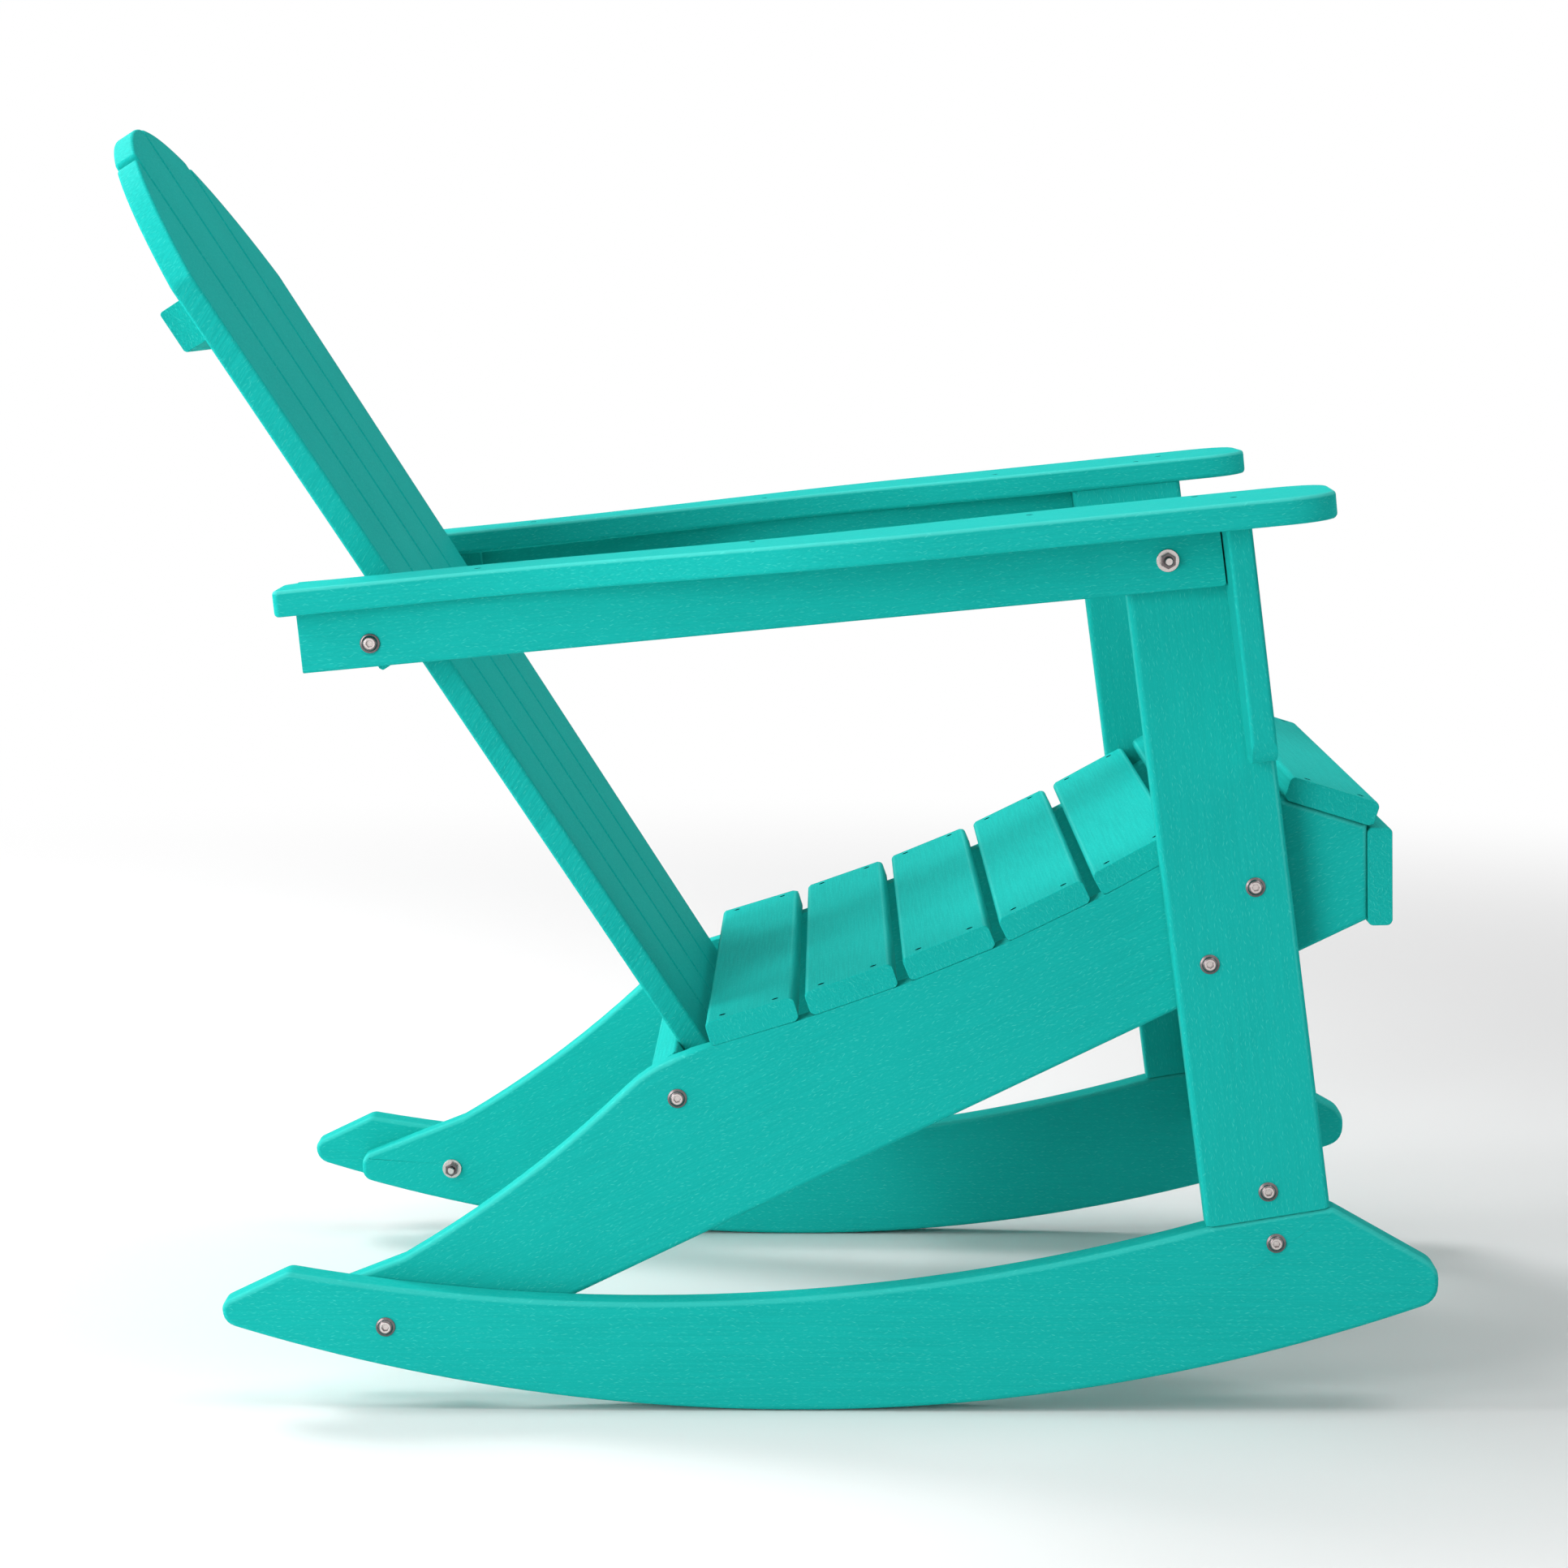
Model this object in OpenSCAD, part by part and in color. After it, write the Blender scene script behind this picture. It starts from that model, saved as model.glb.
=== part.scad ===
// Rocking adirondack chair of plastic-lumber boards, in millimetres.
// X runs across the chair, -Y is the front and +Z is up. The right side is the sitter's right, at -X.

/* [Boards] */
// Length of the seat slats, which fill the width between the front legs
seat_w = 508; // [440:1:600]
// Thickness of the rockers and front legs
frame_t = 27; // [22:0.5:32]
// Thickness of the side stringers and foot cleats
stringer_t = 22; // [18:0.5:26]
// Thickness of the slats, apron and arm brackets
slat_t = 18; // [15:0.5:22]
// Thickness of the lower and arm-level back rails
cross_t = 22; // [18:0.5:26]
// Thickness of the upper back rail
upper_t = 19; // [16:0.5:24]
// Thickness of the arm rails
arm_rail_t = 22; // [18:0.5:26]
// Thickness of the armrests
armrest_t = 19; // [16:0.5:24]

/* [Rockers] */
// Radius of the curve that rolls on the floor
rock_r = 1365; // [1200:5:1600]
// Reach of the nose in front of the touching point
rocker_front = 467; // [455:1:475]
// Reach of the heel behind the touching point
rocker_rear = 413; // [405:1:420]
// Height of the top edge at its lowest place
waist_z = 80; // [72:1:90]
// Distance of that place behind the touching point
waist_y = 109; // [90:1:130]
// Radius of the hollow top edge
waist_r = 1500; // [1300:10:1800]
// Distance of the leg pad's rear end in front of the touching point
pad_y = 299; // [290:1:310]
// Length of the leg pad
pad_len = 92; // [91:0.5:100]
// Rise of the leg pad towards the front, in degrees
pad_angle = 9.5; // [7:0.5:12]
// Fall of the top edge from the pad to the nose, in degrees
nose_angle = 29.5; // [26:0.5:32]
// Distance of the rear crest behind the touching point
crest_y = 365; // [355:1:375]
// Fall of the top edge from the crest to the heel, in degrees
heel_angle = 25.8; // [20:0.2:28]

/* [Front legs] */
// Width of a front leg
leg_w = 90; // [80:1:90]
// Backward lean of the legs and brackets, in degrees
leg_lean = 7.75; // [5:0.25:9]

/* [Seat] */
// Place of the rearmost slat's lower rear edge behind the touching point
seat_rear_y = 58.5; // [54:0.5:60]
// Height of that edge
seat_rear_z = 263.3; // [258:0.1:266]
// Width of a seat slat
seat_slat_w = 67; // [64:0.5:68]
// Gap between two seat slats, at their lower faces
seat_gap = 9; // [7:0.5:10]
// Gap in front of the sixth slat, where the front slat tips over
nose_gap = 4; // [3:0.5:6]
// Distance of the seat screws from a slat's end
seat_screw_end = 14; // [9:0.5:16]
// Distance of the seat screws from a slat's long edges
seat_screw_edge = 13.5; // [9:0.5:18]

/* [Stringers] */
// Depth of a stringer at its front end
stringer_nose_h = 68.5; // [62:0.5:74]
// Fall of the lower edge towards the rear, in degrees
stringer_rake = 25.93; // [25.5:0.01:26.3]
// Rise of the stringer's foot over the rocker's lower edge
foot_rise = 1; // [0.5:0.5:6]
// Reach of the stringer's tail behind the touching point
tail_y = 371; // [360:1:380]
// Length of the straight edge on top of the tail
tail_len = 94; // [88:1:100]
// Slope of that edge, in degrees
tail_angle = 21.5; // [19:0.5:24]
// Height of the tail's blunt end
tail_h = 19.5; // [16:0.5:22]
// Corner radii of the tail's end
tail_r = 10; // [6:0.5:11]
// Hollow of the long upper edge between the knee and the tail
tail_hollow = 6.2; // [2:0.2:10]

/* [Apron] */
// Height of the apron
apron_h = 71; // [64:1:78]
// Backward lean of the apron and the stringers' front ends, in degrees
apron_lean = 1.3; // [0:0.1:3]

/* [Back] */
// Place of the back's front face behind the touching point, at the seat
back_y = 64; // [63:0.5:70]
// Height of that place
back_z = 255; // [252:0.5:256]
// Recline of the back from upright, in degrees
recline = 33; // [31:0.25:34]
// Length of the back from there to the top of its arch
back_len = 804; // [760:1:830]
// Height of the arch over its ends
arch_rise = 133; // [110:1:150]
// Length of the slats below that place
back_tail = 35; // [30:1:38]
// Distance of the fan's edges from the seat's ends, at that place
back_foot_inset = 65; // [61:0.5:74]
// Distance of the fan's edges from the seat's ends, at the ends of the arch
back_knee_inset = 25; // [21:0.5:29]
// Gap between two back slats
back_gap = 5; // [3:0.5:8]
// Height of the lower back rail
lower_rail_h = 53; // [48:1:56]
// Distance of the lower back rail's top edge above the seat end of the back
lower_rail_top = 12; // [8:0.5:14]
// Height of the arm-level back rail
cross_h = 43; // [40:1:48]
// Height of the upper back rail
upper_h = 34; // [30:1:40]
// Distance of the upper back rail's lower edge below the ends of the arch
upper_rail_drop = 43; // [38:1:71]
// Distance of the upper back rail's ends from the edges of the fan
upper_inset = 15; // [8:1:20]

/* [Arms] */
// Height of the armrests' lower faces over the touching point
arm_z = 614.5; // [605:0.5:625]
// Fall of the armrests towards the rear, in degrees
arm_slope = 5.74; // [5:0.02:6.5]
// Reach of the armrests in front of the touching point
arm_front = 381.5; // [375:0.5:392]
// Reach of the armrests behind the touching point
arm_rear = 366.5; // [362:0.5:375]
// Overhang of the armrests outside the front legs
arm_overhang = 95; // [80:1:110]
// Overhang of the armrests' rear ends outside the seat
arm_rear_overhang = 43.5; // [38:0.5:50]
// Distance of the inner edge's widest place outside the seat
arm_inner_bulge = 8.5; // [4:0.5:10]
// Distance of the inner edge's rear end inside the seat
arm_inner_rear = 28; // [22:0.5:30]
// Setback of the armrests' outer front corners behind the inner ones
arm_setback = 4.5; // [0:0.5:8]
// Radius of the armrests' front corners
arm_corner_r = 35; // [20:1:50]
// Chamfer of the armrests' inner rear corners
arm_chamfer = 14; // [8:1:18]
// Height of the arm rails
arm_rail_h = 43; // [38:1:48]
// Reach of the arm rails behind the touching point
arm_rail_rear = 353; // [345:1:360]
// Thickness of the arm cleats
arm_cleat_t = 18; // [15:0.5:20]
// Place of the arm cleats' front edge behind the touching point
arm_cleat_y = 267; // [262:1:270]
// Width of an arm bracket at the armrest
bracket_top_w = 63; // [56:1:70]
// Width of an arm bracket at its lower end
bracket_foot_w = 50; // [44:1:54]
// Height of a bracket's lower end over the leg's foot, along the leg
bracket_foot_up = 334; // [300:1:350]
// Corner radius of a bracket's lower end
bracket_r = 24; // [10:1:30]

/* [Fasteners] */
// Diameter of the bolts
bolt_d = 6; // [5:0.5:7]
// Length of the bolts that have a hex nut
bolt_len = 60; // [58:1:65]
// Length of the bolts that have a barrel nut
end_bolt_len = 70; // [66:1:74]
// Diameter of the flange under a bolt's head
flange_d = 14; // [12:0.5:16]
// Diameter of the washers
washer_d = 16; // [14:0.5:16]
// Width of a hex nut across its flats
nut_af = 10; // [9:0.5:11]
// Diameter of the screws
screw_d = 4; // [3.5:0.1:4.5]
// Diameter of the screws' heads
screw_head_d = 5; // [4.6:0.1:8]
// Length of the long screws
screw_len = 45; // [40:1:48]

/* [Hidden] */
lumber = "#1fb5a8";
steel = "#b3aaa8";
round_fn = 48;
// Overrun of the tools that cut through a board
over = 5;
// Clearance round a bolt in its hole, and round a thread or a screw in its hole
bolt_gap = 0.3;
thread_gap = 0.05;
// Clearance between boards that only pass each other
pass_gap = 0.3;

// Seat slat slopes from the rear to the front, in degrees
seat_angles = [17, 19.5, 22.4, 26.2, 28.9, 29.3, -17];
last_slat = len(seat_angles) - 1;
// Setback of the stringers' front ends under the front slat, and the apron's drop under it
stringer_setback = 4.2;
apron_drop = 2;
// Straight start, span and slope of the stringer's knee, and its bulge
shoulder_len = 20;
knee_span = 50.6;
knee_slope = 31;
knee_bulge = 3;

// Corner radii of the rocker's nose and heel, as shares of the heights of their blunt ends
nose_share = 0.62;
heel_low_share = 0.85;
heel_top_share = 0.5;
// Corner radii that soften the rocker's pad and crest
pad_r = 6;
crest_r = 10;
// Corner radii of the back slats at the arch, between slats and at the outer ends
slat_top_r = 4.5;
knee_r = 10;
// Corner radii of the armrests' rear ends
arm_rear_r = 5;

// Bolts through leg and stringer: distance from the leg's edges and height up the leg
pair_inset = 25.5;
pair_up = [191, 242];
// Bolts above and below the leg's foot: place along the pad and distance from it
foot_bolt_along = 47.6;
foot_bolt_rise = 19.2;
// Foot cleat: place along the pad, width and half height
cleat_along = 34.6;
cleat_w = 44;
cleat_half = 45;
// Bolt through leg and arm rail: distance from the leg's rear edge
arm_bolt_across = 30.5;
// Bolt through rocker and stringer behind the touching point
heel_bolt_y = 294.3;
// Setback of the bracket from the leg's front edge, and the rail's gap behind the bracket
bracket_setback = 2.5;
bracket_gap = 1.2;
// Screws through leg and bracket, as heights over the bracket's lower end
bracket_screw_ups = [46, 126];
// Apron screws, as distances below the apron's top
apron_screw_drops = [31, 55];
// Cleat screws, as distances below the armrest
cleat_screw_drops = [13, 31];
// Wood left in front of a screw's tip
screw_cover = 4;
// Distance of the bolts that enter a back rail's ends from its rear face
end_bolt_cover = 7.5;
// Barrel nuts: diameter, length and distance from the rail's end
barrel_d = 10;
barrel_len = 20;
barrel_in = 35;
// Shape of a bolt's head, nut, washer and sunk screw
flange_h = 1.2;
button_d = 11;
head_h = 3.4;
socket_af = 4;
socket_depth = 2.2;
nut_h = 5;
washer_t = 1.6;
screw_head_h = 1.8;
screw_rim = 0.4;
screw_sink = 0.8;
screw_tip = 6;
drive_d = 2.8;
drive_depth = 1.4;

// Outline of an armrest: shares of its length from the front, then shares of the edge's steps
arm_outer_shares = [[0, 1], [0.371, 0.885], [0.839, 0], [1, 0]];
arm_inner_shares = [[0, 0.685], [0.224, 0.644], [0.452, 1], [0.478, 1], [0.866, 0.03], [1, 0]];
// Armrest screws into the rail, as shares of the rail's length from the front
rail_screw_shares = [0.2, 0.5, 0.8];
// Armrest screws into the leg and the bracket, as shares of their widths
leg_screw_share = 0.62;
bracket_screw_share = 0.55;
// Height of the back slat screws over the bolts in the lower and arm-level back rails
rail_screw_rise = 14.5;
// Back slat screws, as shares of half the fan's width
back_screw_shares = [for (k = [0:7]) (k - 3.5) / 4];

// Steps along the long curves
sole_steps = 24;
curve_steps = 30;
ease_steps = 10;
bow_steps = 10;
foot_steps = 5;

// Faces across the chair, on the left side
seat_x = seat_w / 2;
inner_x = seat_x - stringer_t;
outer_x = seat_x + frame_t;

// Directions in the side view: towards the front with a rise, and up with a backward lean
function forward(a) = [-cos(a), sin(a)];
function upward(a) = [sin(a), cos(a)];

// Points on a circle round c, from angle a to angle b
function arc(c, r, a, b, n) = [for (i = [0:n]) c + r * [cos(a + (b - a) * i / n), sin(a + (b - a) * i / n)]];

// Smallest turn from angle a to angle b
function turn(a, b) = (b - a + 540) % 360 - 180;

// Direction of a vector in degrees
function angle_of(v) = atan2(v.y, v.x);

// Arc from p to q that bulges by rise to the left of the way from p to q
function bow(p, q, rise, n) =
    let (half = norm(q - p) / 2, r = (half * half + rise * rise) / abs(2 * rise))
    let (u = (q - p) / norm(q - p), c = (p + q) / 2 - sign(rise) * (r - abs(rise)) * [-u.y, u.x])
    arc(c, r, angle_of(p - c), angle_of(p - c) + turn(angle_of(p - c), angle_of(q - c)), n);

// Point where the line through p along u meets the line through q along v
function meet(p, u, q, v) = p + u * cross(q - p, v) / cross(u, v);

// Point where the line through p along u leaves the circle round c
function leave(p, u, c, r) =
    let (d = p - c, along = d * u)
    p + u * (sqrt(along * along - d * d + r * r) - along);

// Corner of an outline with a radius, and the outline with such corners rounded
function corner(p, r) = [p.x, p.y, r];
function flat(p) = [p[0], p[1]];
function fillet(before, p, after, r, n) =
    let (u = (before - p) / norm(before - p), v = (after - p) / norm(after - p), half = acos(u * v) / 2)
    let (c = p + (u + v) / norm(u + v) * r / sin(half), from = p + u * r / tan(half) - c)
    let (to = p + v * r / tan(half) - c)
    arc(c, r, angle_of(from), angle_of(from) + turn(angle_of(from), angle_of(to)), n);
function rounded(points, n = 5) = [
    for (i = [0:len(points) - 1])
        each let (p = points[i], count = len(points))
            len(p) < 3 ? [p]
            : fillet(flat(points[(i + count - 1) % count]), flat(p), flat(points[(i + 1) % count]), p[2], n)
];

// Seat chain: lower edges of each slat, from the rear to the front
function seat_start(i) = i == 0 ? [seat_rear_y, seat_rear_z]
    : let (gap = i == last_slat ? nose_gap : seat_gap)
      seat_end(i - 1) + gap * forward((seat_angles[i - 1] + seat_angles[i]) / 2);
function seat_end(i) = seat_start(i) + seat_slat_w * forward(seat_angles[i]);

// Rocker: sole, hollow top edge and pad
function sole(y) = [y, rock_r - sqrt(rock_r * rock_r - y * y)];
function hollow(y) = [y, waist_z + waist_r - sqrt(waist_r * waist_r - pow(y - waist_y, 2))];
pad_rear = hollow(-pad_y);
pad_peak = pad_rear + pad_len * forward(pad_angle);
nose_top = [-rocker_front, pad_peak.y - (pad_peak.x + rocker_front) * tan(nose_angle)];
heel_top = [rocker_rear, hollow(crest_y).y - (rocker_rear - crest_y) * tan(heel_angle)];

// Places on the pad and on the leg
function on_pad(along, rise) = pad_rear + along * forward(pad_angle) + rise * upward(pad_angle);
function on_leg(across, up) = pad_rear + across * forward(leg_lean) + up * upward(leg_lean);

// Armrest plane: points of the side view in its own axes, along and over its lower face
function to_arm(p) =
    let (q = p - [0, arm_z])
    [q.x * cos(arm_slope) - q.y * sin(arm_slope), q.x * sin(arm_slope) + q.y * cos(arm_slope)];
function under_arm(p, u) = meet(p, u, [0, arm_z], forward(arm_slope));

// Back plane: points of the side view at a length up the back and a depth behind its front face
function on_back(s, d) = [back_y, back_z] + s * upward(recline) - d * forward(recline);
knee_len = back_len - arch_rise;
back_foot_w = seat_w - 2 * back_foot_inset;
back_knee_w = seat_w - 2 * back_knee_inset;
upper_rail_s = knee_len - upper_rail_drop;
function fan_half(s) = (back_foot_w + (back_knee_w - back_foot_w) * s / knee_len) / 2;
arch_r = (pow(back_knee_w / 2, 2) + arch_rise * arch_rise) / (2 * arch_rise);

// Box of the whole chair along Y, which is centred
back_rear_y = on_back(back_len, slat_t).x;
centre_y = (back_rear_y - rocker_front) / 2;

// Stringer front end under the front slat
stringer_top = seat_end(last_slat) - stringer_setback * forward(seat_angles[last_slat]);
stringer_foot = stringer_top - stringer_nose_h * upward(apron_lean);

// Arm rail: from the bracket to the rear, toed in by the thickness of the leg
bracket_rear = leg_w - bracket_setback - slat_t;
arm_rail_start = to_arm(under_arm(on_leg(bracket_rear - bracket_gap, 0), upward(leg_lean))).x;
end_bolt_depth = cross_t - end_bolt_cover;
cross_top = norm(under_arm(on_back(0, slat_t), upward(recline)) - on_back(0, slat_t)) - pass_gap;
cross_bolt_s = cross_top - cross_h / 2;
cross_centre = on_back(cross_bolt_s, slat_t + end_bolt_depth);
arm_toe = atan(frame_t / (to_arm(cross_centre).x - arm_rail_start));
function rail_middle(u) = outer_x + arm_rail_t / 2 - (u - arm_rail_start) * tan(arm_toe);

// Places of the bolts in the side view
foot_bolt = on_pad(foot_bolt_along, foot_bolt_rise);
rocker_bolt = on_pad(foot_bolt_along, -foot_bolt_rise);
heel_bolt = (sole(heel_bolt_y) + hollow(heel_bolt_y)) / 2;
pair_bolts = [on_leg(pair_inset, pair_up[0]), on_leg(leg_w - pair_inset, pair_up[1])];
arm_bolt_top = under_arm(on_leg(arm_bolt_across, 0), upward(leg_lean));
arm_bolt = arm_bolt_top - arm_rail_h / 2 * upward(arm_slope);
lower_bolt_s = lower_rail_top - lower_rail_h / 2;
lower_centre = on_back(lower_bolt_s, slat_t + end_bolt_depth);

// Spot faces on the toed rail, square to the bolts: their depth lets the whole seat bear
spot_d = washer_d + 2 * bolt_gap;
spot_depth = spot_d / 2 * tan(arm_toe);
function spot_x(u) = rail_middle(u) + arm_rail_t / 2 / cos(arm_toe) - spot_depth;
arm_bolt_face = spot_x(to_arm(arm_bolt).x);
cross_bolt_face = spot_x(to_arm(cross_centre).x);

// Frames and sides
module placed() translate([0, -centre_y, 0]) children();
module right() mirror([1, 0, 0]) children();
module both() {
    children();
    right() children();
}
module at(p) translate([0, p.x, p.y]) children();
module across(p, x) translate([x, p.x, p.y]) rotate([0, 90, 0]) children();
module slat_frame(i) at(seat_start(i)) rotate([-seat_angles[i], 0, 0]) children();
module leg_frame() at(pad_rear) rotate([-leg_lean, 0, 0]) children();
module arm_frame() translate([0, 0, arm_z]) rotate([-arm_slope, 0, 0]) children();
module back_frame() at([back_y, back_z]) rotate([-recline, 0, 0]) children();
module apron_frame() at(stringer_top) rotate([-apron_lean, 0, 0]) children();
module toe_frame() arm_frame() translate([outer_x, arm_rail_start, 0]) rotate([0, 0, arm_toe]) children();

// Board standing in the side view, from x over thickness t
module board(x, t, outline) translate([x, 0, 0]) rotate([90, 0, 90]) linear_extrude(t) polygon(outline);

// Fasteners: the seat of a head is at z = 0, and the shank points down
module bolt(length) {
    difference() {
        rotate_extrude($fn = round_fn) polygon(concat(
            [[0, -length], [bolt_d / 2, -length], [bolt_d / 2, 0]],
            [[flange_d / 2, 0], [flange_d / 2, flange_h]],
            bow([button_d / 2, flange_h], [socket_af, head_h], -screw_rim, bow_steps / 2),
            [[0, head_h]]
        ));
        translate([0, 0, head_h - socket_depth])
            cylinder(d = socket_af / cos(30), h = socket_depth + over, $fn = 6);
    }
}
module bolt_hole(length) translate([0, 0, -length])
    cylinder(d = bolt_d + 2 * bolt_gap, h = length, $fn = round_fn);
module nut() difference() {
    cylinder(d = nut_af / cos(30), h = nut_h, $fn = 6);
    translate([0, 0, -over]) cylinder(d = bolt_d + 2 * thread_gap, h = nut_h + 2 * over, $fn = round_fn);
}
module washer() difference() {
    cylinder(d = washer_d, h = washer_t, $fn = round_fn);
    translate([0, 0, -over]) cylinder(d = bolt_d + 2 * bolt_gap, h = washer_t + 2 * over, $fn = round_fn);
}
module screw_body(length, grow, rise) rotate_extrude($fn = round_fn) polygon([
    [0, rise], [screw_head_d / 2 + grow, rise], [screw_head_d / 2 + grow, -screw_sink - screw_rim],
    [screw_d / 2 + grow, -screw_sink - screw_head_h], [screw_d / 2 + grow, screw_tip - length],
    [0, -length - grow]
]);
module screw(length) difference() {
    screw_body(length, 0, -screw_sink);
    translate([0, 0, -screw_sink - drive_depth]) cylinder(d = drive_d, h = drive_depth + over, $fn = 4);
}
module screw_hole(length) screw_body(length, thread_gap, over);

// Places of the fasteners on the left side, or over the whole width for slats
module at_seat_screws(i) slat_frame(i)
    for (x = [seat_screw_end - seat_x, seat_x - seat_screw_end])
        for (y = [-seat_screw_edge, seat_screw_edge - seat_slat_w])
            translate([x, y, slat_t]) children();
module at_apron_screws() apron_frame()
    for (drop = apron_screw_drops)
        translate([seat_x - stringer_t / 2, -slat_t, -apron_drop - drop]) rotate([90, 0, 0]) children();
module at_back_screws(s, depth) back_frame()
    for (share = back_screw_shares)
        translate([share * fan_half(s), slat_t + depth, s]) rotate([-90, 0, 0]) children();
module at_arm_screws() arm_frame() {
    for (share = rail_screw_shares)
        let (u = arm_rail_start + share * (arm_rail_rear - arm_rail_start))
            translate([rail_middle(u), u, armrest_t]) children();
    translate([seat_x + frame_t / 2, arm_place(leg_screw_share * leg_w), armrest_t]) children();
    let (x = outer_x + bracket_screw_share * bracket_top_w)
        translate([x, arm_place(bracket_rear + slat_t / 2), armrest_t]) children();
}
function arm_place(across_leg) = to_arm(under_arm(on_leg(across_leg, 0), upward(leg_lean))).x;
module at_bracket_screws() leg_frame()
    for (up = bracket_screw_ups)
        translate([seat_x, -bracket_rear - slat_t / 2, bracket_foot_up + up]) rotate([0, -90, 0]) children();
module at_cleat_screws() toe_frame()
    for (drop = cleat_screw_drops)
        translate([-arm_cleat_t, cleat_start + arm_cleat_t / 2, -drop]) rotate([0, -90, 0]) children();
cleat_start = (arm_cleat_y - arm_rail_start) / cos(arm_toe);
lower_screw_s = lower_bolt_s + rail_screw_rise;
cross_screw_s = cross_bolt_s + rail_screw_rise;
upper_screw_s = upper_rail_s + upper_h / 2;
cross_screw_len = cross_t + slat_t - screw_cover;
upper_screw_len = upper_t + slat_t - screw_cover;
cleat_screw_len = arm_cleat_t + arm_rail_t - screw_cover;

// Rockers
nose_h = nose_top.y - sole(-rocker_front).y;
heel_h = heel_top.y - sole(rocker_rear).y;
rocker_outline = rounded(concat(
    [corner(sole(-rocker_front), nose_share * nose_h)],
    [for (i = [1:sole_steps]) sole(-rock_r * sin(asin(rocker_front / rock_r) * (1 - i / sole_steps)))],
    [for (i = [1:sole_steps - 1]) sole(rock_r * sin(asin(rocker_rear / rock_r) * i / sole_steps))],
    [corner(sole(rocker_rear), heel_low_share * heel_h), corner(heel_top, heel_top_share * heel_h)],
    [corner(hollow(crest_y), crest_r)],
    [for (i = [1:curve_steps]) hollow(crest_y - (crest_y + pad_y) * i / curve_steps)],
    [corner(pad_peak, pad_r), corner(nose_top, nose_share * nose_h)]
));
module rocker() color(lumber) difference() {
    board(seat_x, frame_t, rocker_outline);
    for (p = [rocker_bolt, heel_bolt]) across(p, outer_x + over) bolt_hole(frame_t + 2 * over);
}
module left_rocker() placed() rocker();
module right_rocker() placed() right() rocker();

// Stringers
sole_centre = [0, rock_r];
function foot(y) = [y, rock_r - sqrt(pow(rock_r - foot_rise, 2) - y * y)];
heel_join = leave(stringer_foot, -forward(stringer_rake), sole_centre, rock_r - foot_rise);
knee_start = seat_start(0) - shoulder_len * forward(seat_angles[0]);
knee_end = knee_start - knee_span * forward(knee_slope);
tail_top = foot(tail_y) + [0, tail_h];
tail_kink = tail_top + tail_len * forward(tail_angle);
stringer_outline = rounded(concat(
    [stringer_foot],
    [for (i = [0:foot_steps]) foot(heel_join.x + (tail_y - 2 * tail_r - heel_join.x) * i / foot_steps)],
    [corner(foot(tail_y), tail_r), corner(tail_top, tail_r), tail_kink],
    [for (i = [1:bow_steps - 1]) bow(tail_kink, knee_end, tail_hollow, bow_steps)[i]],
    bow(knee_end, knee_start, -knee_bulge, bow_steps / 2),
    [for (i = [0:last_slat - 1]) each [seat_start(i), seat_end(i)]],
    [seat_start(last_slat), stringer_top]
));
module stringer() color(lumber) difference() {
    board(inner_x, stringer_t, stringer_outline);
    for (p = concat(pair_bolts, [heel_bolt, lower_centre]))
        across(p, seat_x + over) bolt_hole(stringer_t + 2 * over);
    for (i = [0:last_slat]) at_seat_screws(i) screw_hole(screw_len);
    at_apron_screws() screw_hole(screw_len);
}
module left_stringer() placed() stringer();
module right_stringer() placed() right() stringer();

// Front legs and foot cleats
leg_outline = [
    pad_rear,
    under_arm(pad_rear, upward(leg_lean)),
    under_arm(on_leg(leg_w, 0), upward(leg_lean)),
    meet(on_leg(leg_w, 0), upward(leg_lean), pad_rear, forward(pad_angle))
];
module front_leg() color(lumber) difference() {
    board(seat_x, frame_t, leg_outline);
    for (p = concat(pair_bolts, [foot_bolt, arm_bolt]))
        across(p, outer_x + over) bolt_hole(frame_t + 2 * over);
    at_bracket_screws() screw_hole(screw_len);
    at_arm_screws() screw_hole(screw_len);
}
module left_front_leg() placed() front_leg();
module right_front_leg() placed() right() front_leg();

foot_cleat_outline = [
    on_pad(cleat_along, -cleat_half), on_pad(cleat_along, cleat_half),
    on_pad(cleat_along + cleat_w, cleat_half), on_pad(cleat_along + cleat_w, -cleat_half)
];
module foot_cleat() color(lumber) difference() {
    board(inner_x, stringer_t, foot_cleat_outline);
    for (p = [foot_bolt, rocker_bolt]) across(p, seat_x + over) bolt_hole(stringer_t + 2 * over);
}
module left_foot_cleat() placed() foot_cleat();
module right_foot_cleat() placed() right() foot_cleat();

// Seat slats and apron
module seat_slat(i) color(lumber) placed() difference() {
    slat_frame(i) translate([-seat_x, -seat_slat_w, 0]) cube([seat_w, seat_slat_w, slat_t]);
    at_seat_screws(i) screw_hole(screw_len);
}
module seat_slat_1() seat_slat(0);
module seat_slat_2() seat_slat(1);
module seat_slat_3() seat_slat(2);
module seat_slat_4() seat_slat(3);
module seat_slat_5() seat_slat(4);
module seat_slat_6() seat_slat(5);
module front_seat_slat() seat_slat(last_slat);
module front_apron() color(lumber) placed() difference() {
    apron_frame() translate([-seat_x, -slat_t, -apron_drop - apron_h]) cube([seat_w, slat_t, apron_h]);
    both() at_apron_screws() screw_hole(screw_len);
}

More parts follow.
